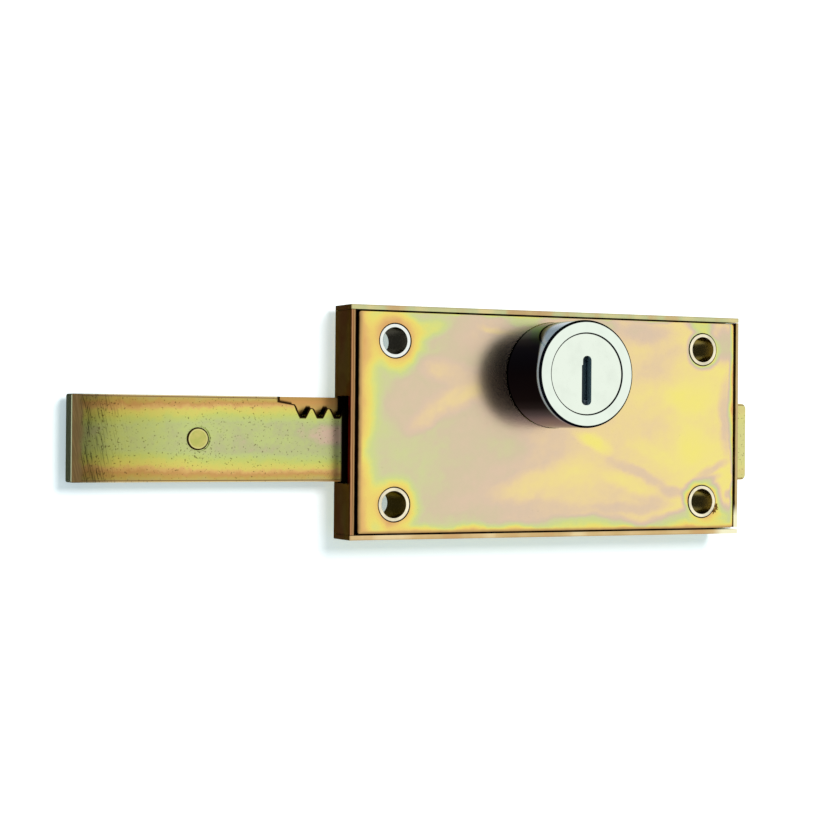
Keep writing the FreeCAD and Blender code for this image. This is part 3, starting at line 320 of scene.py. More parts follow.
@dataclass(frozen=True)
class Cloud:
    """A patch where the passivation film has a thickness of its own, in the XZ plane, in millimetres."""

    across: float
    up: float
    wide: float
    high: float
    film: float
    tilt: float = 0.0
    strength: float = 0.85


@dataclass(frozen=True)
class Halo:
    """Film thinned round a fixing hole, out to a distance from the hole's edge, in millimetres."""

    across: float
    up: float
    reach: float
    radius: float = 4.6


@dataclass(frozen=True)
class Metal:
    """A bare or plated metal of one colour, with fine grain and a touch of unevenness."""

    colour: Triple
    roughness: float = 0.25
    uneven: float = 0.06
    grain: float = 0.6
    relief: float = 0.004
    stretch: Triple = (1.0, 1.0, 1.0)

    def colouring(self, place: Value) -> Value:
        """The plain colour, a little lighter and darker in soft patches.

        Args:
            place: position in millimetres.

        Returns:
            The colour.
        """
        plain = srgb(*self.colour)
        dark = tuple(part * (1 - 4 * self.uneven) for part in plain)
        light = tuple(min(1.0, part * (1 + self.uneven)) for part in plain)
        return place.noise(grain=3.5, seed=1.7).rise(0.25, 0.6).mixed(dark, light)

    def bareness(self, place: Value) -> Number:
        """How far the surface is bare metal: wholly, here."""
        return 1.0

    def relief_over(self, place: Value) -> Value:
        """Height of fine grain, 0 to 1, drawn out along the stretch."""
        return place.laid(self.stretch).noise(grain=self.grain, seed=5.2, detail=4.0)

    def glancing(self, place: Value, colour: Value) -> Value:
        """Colour of the metal seen at a low angle: the metal's own."""
        return colour

    def build(self, name: str) -> bpy.types.Material:
        """Makes the material.

        Args:
            name: the material's name.

        Returns:
            The material.
        """
        material = bpy.data.materials.new(name)
        pattern = drawn_on(material)
        place = pattern.place()
        colour = self.colouring(place)
        fine = self.relief_over(place)
        rough = self.roughness * (0.82 + 0.2 * fine + 0.16 * place.noise(grain=6.0, seed=9.1))
        shader = pattern.made("BsdfPrincipled", {
            "Metallic": self.bareness(place), "Base Color": colour, "Roughness": rough,
            "Specular Tint": self.glancing(place, colour), "Normal": fine.bump(self.relief)})
        pattern.end("ShaderNodeOutputMaterial", shader)
        return material


# Colours that the passivation film goes through as it thickens
FILM = (
    (0.00, (214, 160, 100)), (0.04, (228, 184, 114)), (0.10, (238, 209, 114)), (0.17, (236, 221, 114)),
    (0.24, (220, 223, 130)), (0.31, (208, 216, 144)), (0.40, (210, 209, 157)), (0.48, (214, 198, 165)),
    (0.56, (221, 197, 170)), (0.64, (228, 202, 166)), (0.72, (236, 211, 158)), (0.80, (240, 218, 149)),
    (0.90, (243, 227, 138)), (1.00, (244, 231, 126)),
)


@dataclass(frozen=True)
class FilmedZinc(Metal):
    """Zinc plating under a yellow passivation film, whose thickness sets its colour."""

    clouds: tuple[Cloud, ...] = ()
    specks: float = 0.35
    thinnest: float = 0.015

    def thickness(self, place: Value) -> Value:
        """Film thickness, 0 to 1, over a loose part: wandering, with no edges to follow."""
        wander = place.pushed(grain=9.0, seed=3.3, reach=2.5).noise(grain=11.0, seed=7.7, detail=4.0)
        return wander.rise(0.28, 0.72) * 0.75 + 0.12

    def clouded(self, place: Value, film: Value) -> Value:
        """Lays the clouds over a film.

        Args:
            place: position in millimetres, already uneven.
            film: thickness below the clouds.

        Returns:
            Thickness, 0 to 1.
        """
        for cloud in self.clouds:
            away = place.away(cloud.across, cloud.up, cloud.wide, cloud.high, cloud.tilt)
            film = away.rise(1.0, 0.2, cloud.strength).between(film, cloud.film)
        return film

    def colouring(self, place: Value) -> Value:
        """Film colour, with a few dark specks."""
        speck = place.noise(grain=0.55, seed=12.4, detail=1.0).rise(0.76, 0.82, self.specks)
        return self.thickness(place).ramp(FILM).layered((speck, (96, 84, 40)))


# The cover plate's margin, darker towards its edge, from its edge inwards; along the left edge this dark is
# painted shade of the gap to the rim
COVER_EDGE_DARKENING = ((0.05, (70, 48, 20)), (0.35, (176, 142, 92)), (0.8, (206, 170, 104)), (1.0, (220, 180, 108)))


@dataclass(frozen=True)
class CoverFilm(FilmedZinc):
    """Film on the cover plate: thin along its edges and round the fixing holes, clouded between."""

    left: float = -57.28
    right: float = 57.12
    half_height: float = 28.4
    halos: tuple[Halo, ...] = ()

    def thickness(self, place: Value) -> Value:
        """Film thickness over the plate.

        Args:
            place: position in millimetres.

        Returns:
            Thickness, 0 to 1.
        """
        uneven = place.pushed(grain=13.0, seed=2.1, reach=2.6).pushed(grain=3.0, seed=4.6, reach=0.7)
        across, _, up = uneven.parts()
        wander = uneven.laid((1.6, 1.0, 1.0), 24.0).noise(grain=9.0, seed=6.4, detail=4.0)
        mottle = place.noise(grain=1.7, seed=15.5)
        region = self.clouded(uneven, across * 0.005 + 0.62)
        region = region + (wander - 0.5) * 0.32 + (mottle - 0.5) * 0.08
        for reach, edge in ((7.6, across - self.left), (1.7, self.right - across),
                            (1.6, self.half_height - up + 0.8), (3.2, up + self.half_height)):
            region = region * edge.rise(-0.4, reach)
        for halo in self.halos:
            away = uneven.away(halo.across, halo.up)
            region = region * away.rise(halo.radius - 1.0, halo.radius + halo.reach)
        return region + self.thinnest

    def colouring(self, place: Value) -> Value:
        """Film colour, darker along the edges, the left and the lower one most; along the left edge it is
        painted shade of the gap to the rim.

        Args:
            place: position in millimetres.

        Returns:
            The colour.
        """
        across, _, up = place.pushed(grain=2.5, seed=7.1, reach=0.15).parts()
        edge = ((across - self.left) * 0.8).least(up + self.half_height + 0.25)
        edge = edge.least((self.half_height - up) * 2.0 + 0.75)
        # darker margin along the edges, painted shade of the gap along the left one
        return super().colouring(place).layered((edge.rise(1.3, 0.5), edge.ramp(COVER_EDGE_DARKENING)))


# The tray's cut rim: across the left and right walls from outside in, and along the upper and lower ones. The
# left one has a painted highlight near its rounded outer edge; both end in painted shade towards the gap to
# the cover, the right one over its inner third
LEFT_RIM = (
    (0.0, (96, 58, 34)), (0.14, (168, 122, 82)), (0.34, (192, 146, 100)), (0.48, (150, 104, 62)),
    (0.58, (118, 74, 40)), (0.7, (190, 156, 108)), (0.86, (160, 124, 80)), (1.0, (84, 58, 32)),
)
RIGHT_RIM = (
    (0.0, (176, 148, 98)), (0.2, (206, 184, 138)), (0.42, (186, 160, 108)), (0.6, (204, 180, 124)),
    (0.68, (60, 44, 12)), (1.0, (40, 28, 8)),
)
UPPER_RIM = ((0.0, (196, 158, 112)), (0.3, (208, 182, 128)), (0.6, (198, 204, 150)), (1.0, (226, 212, 152)))
LOWER_RIM = ((0.0, (210, 170, 116)), (0.35, (212, 182, 126)), (0.7, (222, 192, 138)), (1.0, (238, 216, 166)))


@dataclass(frozen=True)
class TrayFilm(FilmedZinc):
    """Film on the folded tray: copper and pale gold on the cut rim, clouded on the walls and the back, with
    painted highlights and painted shade on the rim, and painted shade on the left wall, beside the bolt and
    inside.
    """

    centre: float = -0.5
    half_width: float = 59.0
    half_height: float = 30.0
    depth: float = 12.0
    metal: float = 1.2
    window_low: float = -16.0
    window_high: float = 7.0
    window_depth: float = 5.4

    def outline(self, place: Value) -> tuple[Value, Value]:
        """Measures from the tray's edges.

        Args:
            place: position in millimetres.

        Returns:
            Distance in from the tray's outline, and distance behind its rim.
        """
        across, inward, up = place.parts()
        edge = (self.half_width - (across - self.centre).size()).least(self.half_height - up.size())
        return edge, inward

    def thickness(self, place: Value) -> Value:
        """Film thickness over the tray.

        Args:
            place: position in millimetres.

        Returns:
            Thickness, 0 to 1.
        """
        uneven = place.pushed(grain=10.0, seed=8.2, reach=2.5)
        edge, inward = self.outline(uneven)
        region = uneven.noise(grain=17.0, seed=6.9, detail=4.0).rise(0.25, 0.75) * 0.72 + 0.16
        apart = edge.most(inward.least(self.depth - inward)).most(0.0)
        return self.clouded(uneven, region) * apart.rise(-0.8, 6.0) + self.thinnest

    def rim(self, place: Value, edge: Value) -> Value:
        """Colour of the cut rim: a copper outer line, a pale one inside it, and drifting tints; on the left
        the outer line is a painted highlight, painted shade lies towards the gap to the cover, and a painted
        highlight lies at the lower right corner.

        Args:
            place: position in millimetres.
            edge: distance in from the tray's outline.

        Returns:
            The colour.
        """
        across, _, up = place.parts()
        through = edge / self.metal
        drift = place.laid((1.0, ENDLESS, 3.0)).noise(grain=11.0, seed=5.9).rise(0.3, 0.7)
        bands = up.rise(1.0, -1.0).tinted(drift.ramp(UPPER_RIM), drift.ramp(LOWER_RIM))
        bands = bands.layered((edge.rise(0.45, 0.1, 0.35), (150, 122, 92)))
        level = up.size().rise(self.half_height - self.metal - 0.1, self.half_height - self.metal)
        corner = place.away(self.centre + self.half_width - 0.5, 0.5 - self.half_height, wide=8.0, high=8.0)
        # left and right lines with a painted highlight on the outer edge and painted shade towards the gap
        lines = across.rise(-1.0, 1.0).tinted(through.ramp(LEFT_RIM), through.ramp(RIGHT_RIM))
        # painted highlight at the lower right corner
        return lines.layered((level * 0.92, bands), (corner.rise(1.0, 0.5), (248, 244, 206)))

    def colouring(self, place: Value) -> Value:
        """Film colour, with the cut rim picked out, painted shade in browns on the left wall and beside the
        bolt, and painted shade inside.

        Args:
            place: position in millimetres.

        Returns:
            The colour.
        """
        across, inward, up = place.parts()
        wall = self.centre - self.half_width
        left_wall_shade = place.noise(grain=8.0, seed=2.9).rise(0.35, 0.65).tinted((190, 146, 76), (176, 110, 58))
        beside = across.rise(wall + 0.2, wall + 0.05)
        beside = beside * inward.rise(self.window_depth, self.window_depth - 0.4)
        beside = beside * up.rise(self.window_low, self.window_low + 0.6)
        beside = beside * up.rise(self.window_high, self.window_high - 0.6)
        edge, behind = self.outline(place.pushed(grain=2.5, seed=3.9, reach=0.1))
        inside = edge.rise(self.metal - 0.1, self.metal + 0.1)
        inside = inside * behind.rise(self.depth - 1.0, self.depth - 1.2)
        return super().colouring(place).layered(
            # painted shade: the left wall's outer face darker brown
            (across.rise(wall + 0.3, wall + 0.1, 0.85), left_wall_shade),
            # painted shade on the left wall's outer face beside the bolt's window
            (beside, (104, 56, 28)),
            # painted shade on the inner faces of the case
            (inside, (52, 34, 16)),
            (behind.rise(0.5, 0.2), self.rim(place, edge)))


# Colours of the bolt from its edges inwards, and on to where the film is thickest
BOLT_FILM = (
    (0.00, (190, 172, 112)), (0.10, (197, 175, 98)), (0.155, (198, 166, 90)), (0.23, (202, 155, 94)),
    (0.31, (219, 179, 110)), (0.39, (219, 204, 107)), (0.49, (213, 208, 108)), (0.60, (199, 207, 113)),
    (0.75, (192, 203, 130)), (0.87, (187, 190, 138)), (1.00, (212, 184, 161)),
)
# The spot where the film on the bolt is thickest
BOLT_RIDGE = Cloud(-62.0, -3.5, 11.0, 4.5, 1.0, -8.0, strength=1.0)
# The rack pocket's floor, from its lower edge up: painted shade low in the tooth spaces, lighter higher up
RACK_FLOOR = (
    (0.15, (14, 9, 4)), (0.34, (26, 17, 7)), (0.45, (128, 98, 48)), (0.56, (206, 172, 100)),
    (0.85, (206, 156, 92)), (1.0, (190, 150, 84)),
)


@dataclass(frozen=True)
class BoltFilm(FilmedZinc):
    """Film on the bolt: bands along its edges with a painted highlight, a dull machined left end, painted
    shade in the rack and painted shade inside the case.
    """

    bottom: float = -15.2
    top: float = 6.3
    left: float = -130.3
    front: float = 5.75
    pin_across: float = -98.1
    grime_up: float = -6.5
    rack_left: float = -77.4
    rack_right: float = -56.0
    rack_floor: float = 8.35
    first_space: float = -70.18
    tooth_pitch: float = 4.712
    tooth_wave: float = 1.5
    crest: float = 3.5
    root: float = 1.1
    run_out_height: float = 4.42
    run_out_slope: float = 0.16
    line_width: float = 0.32
    case_side: float = -59.9
    shade_end: float = -46.0

    def thickness(self, place: Value) -> Value:
        """Film thickness over the bolt.

        Args:
            place: position in millimetres.

        Returns:
            Thickness, 0 to 1.
        """
        _, _, up = place.laid((3.0, 1.0, 1.0)).pushed(grain=2.4, seed=5.5, reach=0.35).parts()
        across, _, _ = place.parts()
        widened = across.rise(-84.0, -122.0) * 0.22
        edge = (self.top - up).least((up - self.bottom) * 0.92) * (1.0 - widened)
        clouds = place.pushed(grain=8.0, seed=1.3, reach=3.0).noise(grain=8.0, seed=14.2).rise(0.35, 0.7)
        inner = self.clouded(place, 0.72 + clouds * 0.12 + across.rise(-104.0, -80.0) * 0.06)
        mottle = place.noise(grain=0.9, seed=15.5)
        blotch = place.pushed(grain=4.0, seed=9.4, reach=1.5).noise(grain=3.4, seed=18.6, detail=4.0)
        return (edge / 8.0).least(inner) + (mottle - 0.5) * 0.16 + (blotch - 0.5) * 0.26

    def profile(self, across: Value) -> Value:
        """Height of the rack pocket's lower edge: a run-out, then the teeth.

        Args:
            across: place along the bolt, in millimetres.

        Returns:
            Height in the row frame, in millimetres.
        """
        wave = ((across - self.first_space) * (2 * math.pi / self.tooth_pitch)).then("COSINE")
        teeth = ((self.crest + self.root) / 2 - wave * self.tooth_wave).most(self.root).least(self.crest)
        start = self.first_space - self.tooth_pitch / 2
        run_out = (start - across) * self.run_out_slope + self.run_out_height
        return across.rise(start + 0.1, start + 0.75).between(run_out, teeth)

    def bands(self, place: Value) -> Value:
        """Film colour, duller to the left, with a dark line and a pale painted highlight along the edges, and
        dark specks.

        Args:
            place: position in millimetres.

        Returns:
            The colour.
        """
        across, _, up = place.parts()
        film = self.thickness(place)
        dimmed = film.ramp([(step, (red * 0.87, green * 0.85, blue * 0.77))
                            for step, (red, green, blue) in BOLT_FILM])
        edge = (up - self.bottom).least(self.top - up)
        grime = place.away(self.pin_across, self.grime_up, wide=7.0, high=6.0).rise(1.0, 0.4, 0.06)
        grime = grime + across.rise(-112.0, -126.0) * 0.05
        speck = (place.noise(grain=0.45, seed=21.0, detail=1.0) + grime).rise(0.63, 0.73, 0.65)
        return across.rise(-122.0, -98.0).tinted(dimmed, film.ramp(BOLT_FILM)).layered(
            (across.rise(40.0, 52.0, 0.8), (221, 216, 143)),
            (edge.rise(0.62, 0.45) * edge.rise(0.2, 0.35), (140, 110, 72)),
            # painted highlight along the rounded edges
            (edge.rise(0.3, 0.15, 0.8), (226, 206, 160)),
            (speck, (84, 66, 30)))

    def worn_end(self, place: Value) -> list[Layer]:
        """Dull streaks over the machined left end, and its worn and pale edge.

        Args:
            place: position in millimetres.

        Returns:
            Where each layer covers, and its colour.
        """
        across, _, _ = place.parts()
        reach = across - self.left + (place.noise(grain=3.0, seed=8.8) - 0.5) * 2.5
        streaks = place.laid((0.3, 1.0, 5.0), 12.0).noise(grain=1.0, seed=3.1)
        scratch = streaks.rise(0.52, 0.68) * reach.rise(17.0, 8.0) * 0.35
        return [(reach.rise(13.0, 2.5, 0.70) * (0.66 + 0.5 * streaks) + scratch, (30, 28, 14)),
                (reach.rise(3.4, 1.6, 0.92), streaks.rise(0.4, 0.65).tinted((104, 84, 54), (124, 102, 66))),
                (across.rise(self.left + 0.25, self.left + 0.05), (196, 208, 172))]

    def rack(self, place: Value) -> list[Layer]:
        """Painted shade: a dark line round the rack's teeth, and the pocket behind them darkened on its walls
        and low in the tooth spaces.

        Args:
            place: position in millimetres.

        Returns:
            Where each layer covers, and its colour.
        """
        across, inward, up = place.parts()
        above = up - self.profile(across)
        near = across.rise(self.rack_left, self.rack_left + 0.4)
        near = near * across.rise(self.rack_right, self.rack_right - 1.0)
        widened = self.profile(across - self.line_width).least(self.profile(across + self.line_width))
        # painted shade as a dark line along the teeth's front edge
        line = (up - widened).rise(-0.42, -0.12) * inward.rise(self.front + 0.6, self.front + 0.4)
        # painted shade on the pocket floor, darkest low down and just above the teeth, and darker still on
        # the walls
        floor = (up / self.top + place.noise(grain=2.0, seed=4.4) * 0.1).ramp(RACK_FLOOR)
        floor = floor.layered((above.rise(0.9, 0.2), (34, 22, 8)))
        walls = inward.rise(self.rack_floor - 0.3, self.rack_floor - 0.1).tinted((18, 11, 5), floor)
        pocket = inward.rise(self.front + 0.3, self.front + 0.5) * above.rise(-0.3, -0.1) * near
        pocket = pocket * inward.rise(self.rack_floor + 0.5, self.rack_floor + 0.2)
        return [(line * near, (44, 28, 10)), (pocket, walls)]

    def colouring(self, place: Value) -> Value:
        """Colour over the bolt, with painted shade where it lies inside the case.

        Args:
            place: position in millimetres.

        Returns:
            The colour.
        """
        across, _, _ = place.parts()
        # painted shade over the part of the bolt inside the case
        shaded = across.rise(self.case_side, self.case_side + 0.6)
        shaded = shaded * across.rise(self.shade_end, self.shade_end - 6.0)
        return self.bands(place).layered(*self.worn_end(place), *self.rack(place), (shaded, (16, 11, 5)))


@dataclass(frozen=True)
class TubeSteel(Metal):
    """Fixing tubes: pale swaged ends, a dark bore and a darker outside."""

    holes_across: float = 47.0
    holes_up: float = 21.0
    bore: float = 3.5
    swage: float = 4.3
    outside: float = 4.5
    sunk: float = 0.5

    def colouring(self, place: Value) -> Value:
        """Colour over the tubes, silvery at the upper left one.

        Args:
            place: position in millimetres.

        Returns:
            The colour.
        """
        across, inward, up = place.parts()
        aside, above = across.size() - self.holes_across, up.size() - self.holes_up
        radius = (aside * aside + above * above).then("SQRT")
        silver = across.rise(0.0, -10.0) * up.rise(0.0, 10.0)
        bore = silver.tinted((170, 154, 98), (166, 164, 150))
        # the outside behind the swaged end is darker
        dark_outside = radius.rise(self.swage - 0.06, self.swage) * inward.rise(self.sunk - 0.1, self.sunk)
        inside = radius.rise(self.bore + 0.02, self.bore - 0.03) * inward.rise(self.sunk - 0.12, self.sunk)
        return super().colouring(place).layered(
            (silver, (238, 243, 236)), (dark_outside, (70, 52, 26)),
            (radius.rise(self.outside - 0.1, self.outside), (132, 100, 46)), (inside, bore))


@dataclass(frozen=True)
class TurnedMetal(Metal):
    """A metal turned on a lathe, with faint rings round its own axis, which lies along Y."""

    axis_across: float = 0.0
    axis_up: float = 0.0
    ring: float = 0.25

    def turned(self, place: Value) -> tuple[Value, Value, Value]:
        """Measures round the axis.

        Args:
            place: position in millimetres.

        Returns:
            Distance from the axis, place along it, and turn from the left upwards in degrees.
        """
        across, inward, up = place.laid((1, 1, 1), centre=(self.axis_across, 0, self.axis_up)).parts()
        turn = up.then("ARCTAN2", across * -1.0) * (180 / math.pi)
        return (across * across + up * up).then("SQRT"), inward, turn

    def relief_over(self, place: Value) -> Value:
        """Height of fine rings round the axis.

        Args:
            place: position in millimetres.

        Returns:
            Height, 0 to 1.
        """
        radius, inward, _ = self.turned(place)
        groove = place.pattern.made("CombineXYZ", {0: radius, 1: inward})
        return groove.noise(grain=self.ring, seed=2.2, detail=2.0)


@dataclass(frozen=True)
class PinSteel(TurnedMetal):
    """The bolt's pin: filmed like the bolt, with a painted highlight inside its edge and painted shade in the
    groove round it.
    """

    radius: float = 2.83

    def colouring(self, place: Value) -> Value:
        """Colour over the pin.

        Args:
            place: position in millimetres.

        Returns:
            The colour.
        """
        radius, _, _ = self.turned(place.pushed(grain=1.2, seed=6.6, reach=0.09))
        colour = place.noise(grain=1.6, seed=3.4).rise(0.35, 0.65).tinted((186, 188, 100), (204, 196, 112))
        # painted highlight inside the edge, then painted shade in the groove
        return colour.layered((radius.rise(self.radius - 0.75, self.radius - 0.55), (214, 208, 132)),
                              (radius.rise(self.radius - 0.42, self.radius - 0.28), (50, 36, 14)))


# Painted reflection: what the barrel's side mirrors, painted into its colour all the way round from the right
BARREL_SIDE_REFLECTION = (
    (0.0, (206, 210, 212)), (0.08, (124, 128, 134)), (0.17, (216, 219, 220)), (0.25, (190, 160, 176)),
    (0.278, (186, 158, 178)), (0.306, (170, 146, 168)), (0.333, (146, 130, 150)), (0.361, (92, 86, 100)),
    (0.389, (38, 34, 40)), (0.417, (20, 17, 21)), (0.5, (12, 11, 17)), (0.583, (9, 16, 28)),
    (0.611, (26, 34, 44)), (0.639, (76, 96, 100)), (0.667, (118, 160, 128)), (0.694, (150, 182, 140)),
    (0.722, (196, 214, 170)), (0.78, (172, 180, 184)), (0.85, (228, 232, 232)), (0.92, (132, 137, 142)),
    (1.0, (206, 210, 212)),
)


@dataclass(frozen=True)
class BarrelChrome(TurnedMetal):
    """Bright chrome on the barrel: a pale face, a black bevel and streaks along the side, the bevel and the
    streaks being painted reflections, with a painted highlight behind the bevel and painted shade in the
    mouth.
    """

    face: float = -17.4
    bevel: float = 0.6
    radius: float = 14.0
    mouth: float = 10.77
    side_glance: Triple = (0.52, 0.51, 0.51)

    @property
    def side(self) -> float:
        """Where the bevel ends and the side begins."""
        return self.face + self.bevel

    def gleam(self, place: Value) -> Value:
        """Painted highlight on the left side behind the bevel: a line below, widening upwards.

        Args:
            place: position in millimetres.

        Returns:
            How strong the painted highlight is, 0 to 1.
        """
        _, inward, turn = self.turned(place)
        wide = turn.rise(8.0, 88.0) * 8.0 + 1.0
        behind = ((inward - self.face - self.bevel) / wide).rise(1.35, 0.7) * turn.rise(-80.0, -30.0)
        return behind * turn.rise(120.0, 92.0) * inward.rise(self.side, self.side + 0.1)

    def bareness(self, place: Value) -> Value:
        """How far the surface is bare metal: less under the painted highlight."""
        return 1.0 - self.gleam(place) * 0.9

    def glancing(self, place: Value, colour: Value) -> Value:
        """Colour at a low angle: grey on the barrel's side, so that its dark part brightens to the edges."""
        _, inward, _ = place.parts()
        return inward.rise(self.side, self.side + 0.2).mixed(colour, self.side_glance)

    def colouring(self, place: Value) -> Value:
        """Colour over the barrel.

        Args:
            place: position in millimetres.

        Returns:
            The colour.
        """
        radius, inward, turn = self.turned(place)
        bevel = inward.rise(self.side + 0.02, self.side - 0.05)
        face = radius.rise(self.radius - self.bevel + 0.04, self.radius - self.bevel - 0.02)
        # painted reflection round the side, under a painted highlight behind the bevel and a painted dark
        # reflection on the bevel
        return (turn / 360 + 0.5).ramp(BARREL_SIDE_REFLECTION).layered(
            (self.gleam(place), (166, 184, 198)), (bevel, (7, 9, 14)), (face, super().colouring(place)),
            # painted shade inside the barrel's mouth round the plug
            (radius.rise(self.mouth, self.mouth - 0.05), (16, 20, 24)))


@dataclass(frozen=True)
class PlugNickel(TurnedMetal):
    """Nickel on the plug: a pale face, painted shade on its edge and painted shade in the key slot."""

    face: float = -17.1
    radius: float = 10.55
    rim: float = 1.0
    mouth: float = 1.2

    def slot(self, place: Value) -> Value:
        """Where the surface lies behind the plug's face, in the key slot."""
        _, inward, _ = place.parts()
        return inward.rise(self.face + 0.03, self.face + 0.09) * inward.rise(self.rim, 0.0)

    def bareness(self, place: Value) -> Value:
        """How far the surface is bare metal: not in the key slot."""
        return 1.0 - self.slot(place)

    def colouring(self, place: Value) -> Value:
        """Colour over the plug.

        Args:
            place: position in millimetres.

        Returns:
            The colour.
        """
        radius, inward, _ = self.turned(place)
        step = (inward - self.face - self.mouth).size().rise(0.08, 0.04)
        edge = radius.rise(self.radius - 0.18, self.radius - 0.14) * inward.rise(self.rim, 0.0)
        # painted shade in the key slot, lighter on the step at its mouth, and painted shade round the plug's
        # edge
        return super().colouring(place).layered(
            (self.slot(place), step.tinted((104, 130, 140), (36, 46, 50))), (edge, (22, 26, 30)))


COVER_CLOUDS = tuple(Cloud(*sizes) for sizes in (
    (-33, -8, 17, 7, 0.40, 15), (-14, -6, 10, 5, 0.46), (-30, -21, 13, 5, 0.54), (-46, 4, 6, 8, 0.50),
    (-41, 8, 8, 7, 0.50), (-33, 14, 13, 5, 0.70, -10), (-29, 7, 15, 5.5, 0.72, 20),
    (-38, 2, 10, 4, 0.68, 35), (-24, 22, 9, 4.5, 0.52, -10), (-18, 25, 7, 1.4, 0.68, -12),
    (-38, 25, 9, 3.6, 0.16, 15), (-9, 27.5, 8, 2.6, 0.28), (15, 26.5, 7, 3, 0.36), (28, 25, 14, 4.5, 0.50),
    (29, 15, 13, 6, 0.66), (34, 20, 10, 5, 0.64), (-4, -3, 11, 4, 0.60), (-8, -16, 15, 5, 0.78, 15),
    (6, -14, 14, 7, 0.84, 10), (5, -19, 12, 3.6, 0.77), (12, -5, 8, 2.8, 0.96, -25), (42, 8, 11, 6, 0.95),
    (44, -5, 9, 8, 0.97), (27, -1, 12, 5, 0.74), (32, -8, 11, 3.4, 0.84, -20),
    (23, -15.5, 15, 3.0, 0.88, -20), (26, -13, 15, 2.0, 0.56, -22), (31, -20.5, 9, 3, 0.62, -10),
    (38, -18.5, 7, 2.8, 0.55, -15), (22, -22.5, 18, 2.4, 0.55), (10, -26, 20, 2.8, 0.24),
    (40, -26, 13, 2.8, 0.24), (55, 2, 3.4, 17, 0.60), (54, 23, 6, 8, 0.34), (46, 27.5, 7, 3, 0.14),
    (50, -12.5, 8, 1.8, 0.56, 18), (47, -15.4, 7, 2.0, 0.36, 10), (52.5, -25, 8, 5, 0.12),
    (55.5, -19.5, 2.0, 1.7, 0.58), (-55, 26, 4, 3.6, 0.42),
))
COVER_HALOS = (Halo(-47, 21, 6.3), Halo(-47, -21, 4.6), Halo(46.82, 21, 2.0), Halo(46.82, -21, 3.0))
BARREL_AXIS = {"axis_across": -0.5, "axis_up": 13.0}


class Finish(Enum):
    """The finishes, by the record's material slots."""

    case_zinc = TrayFilm((200, 160, 90), roughness=0.30, grain=0.35, relief=0.006, stretch=(5.0, 1.0, 1.0))
    cover_zinc = CoverFilm((220, 200, 150), roughness=0.22, grain=0.35, relief=0.004,
                           stretch=(6.0, 1.0, 1.0), clouds=COVER_CLOUDS, halos=COVER_HALOS)
    bolt_zinc = BoltFilm((195, 190, 140), roughness=0.31, grain=0.3, relief=0.007, stretch=(10.0, 1.0, 1.0),
                         clouds=(BOLT_RIDGE,))
    pin_steel = PinSteel((198, 178, 104), roughness=0.30, axis_across=-98.1, axis_up=-4.45)
    tube_steel = TubeSteel((244, 235, 204), roughness=0.24)
    barrel_chrome = BarrelChrome((234, 245, 232), roughness=0.07, uneven=0.01, relief=0.0006, **BARREL_AXIS)
    plug_nickel = PlugNickel((234, 244, 230), roughness=0.16, uneven=0.01, relief=0.0012, **BARREL_AXIS)
    frame_steel = FilmedZinc((200, 160, 90), roughness=0.32, grain=0.4)
    turned_steel = Metal((196, 197, 198), roughness=0.28)
    screw_zinc = Metal((214, 216, 220), roughness=0.24, relief=0.003)
    rivet_steel = FilmedZinc((200, 170, 110), roughness=0.32, grain=0.4)
    bush_brass = TurnedMetal((214, 172, 96), roughness=0.24, **BARREL_AXIS)
    wafer_brass = Metal((150, 160, 172), roughness=0.30)
    spring_steel = Metal((190, 192, 196), roughness=0.22)
    gear_steel = Metal((150, 152, 156), roughness=0.30)


class Finishes:
    """Makes each finish once and hands it out."""

    def __init__(self) -> None:
        """Starts with none made."""
        self.made: dict[str, bpy.types.Material] = {}

    def material(self, slot: str) -> bpy.types.Material:
        """The material of a slot, made when it is first asked for."""
        if slot not in self.made:
            self.made[slot] = Finish[slot].value.build(slot)
        return self.made[slot]


# Forms


def placed(name: str, data: bpy.types.ID) -> bpy.types.Object:
    """Makes an object of some data and puts it in the scene.

    Args:
        name: the object's name.
        data: its mesh, lamp or camera.

    Returns:
        The object.
    """
    thing = bpy.data.objects.new(name, data)
    bpy.context.scene.collection.objects.link(thing)
    return thing


def as_plain(carrier: bpy.types.Object) -> bpy.types.Mesh:
    """Applies an object's modifiers, and removes the object.

    Args:
        carrier: an object that is made for its modifiers only.

    Returns:
        The plain mesh that they give.
    """
    graph = bpy.context.evaluated_depsgraph_get()
    mesh = bpy.data.meshes.new_from_object(carrier.evaluated_get(graph), depsgraph=graph)
    carrier.modifiers.clear()
    bpy.data.objects.remove(carrier)
    return mesh


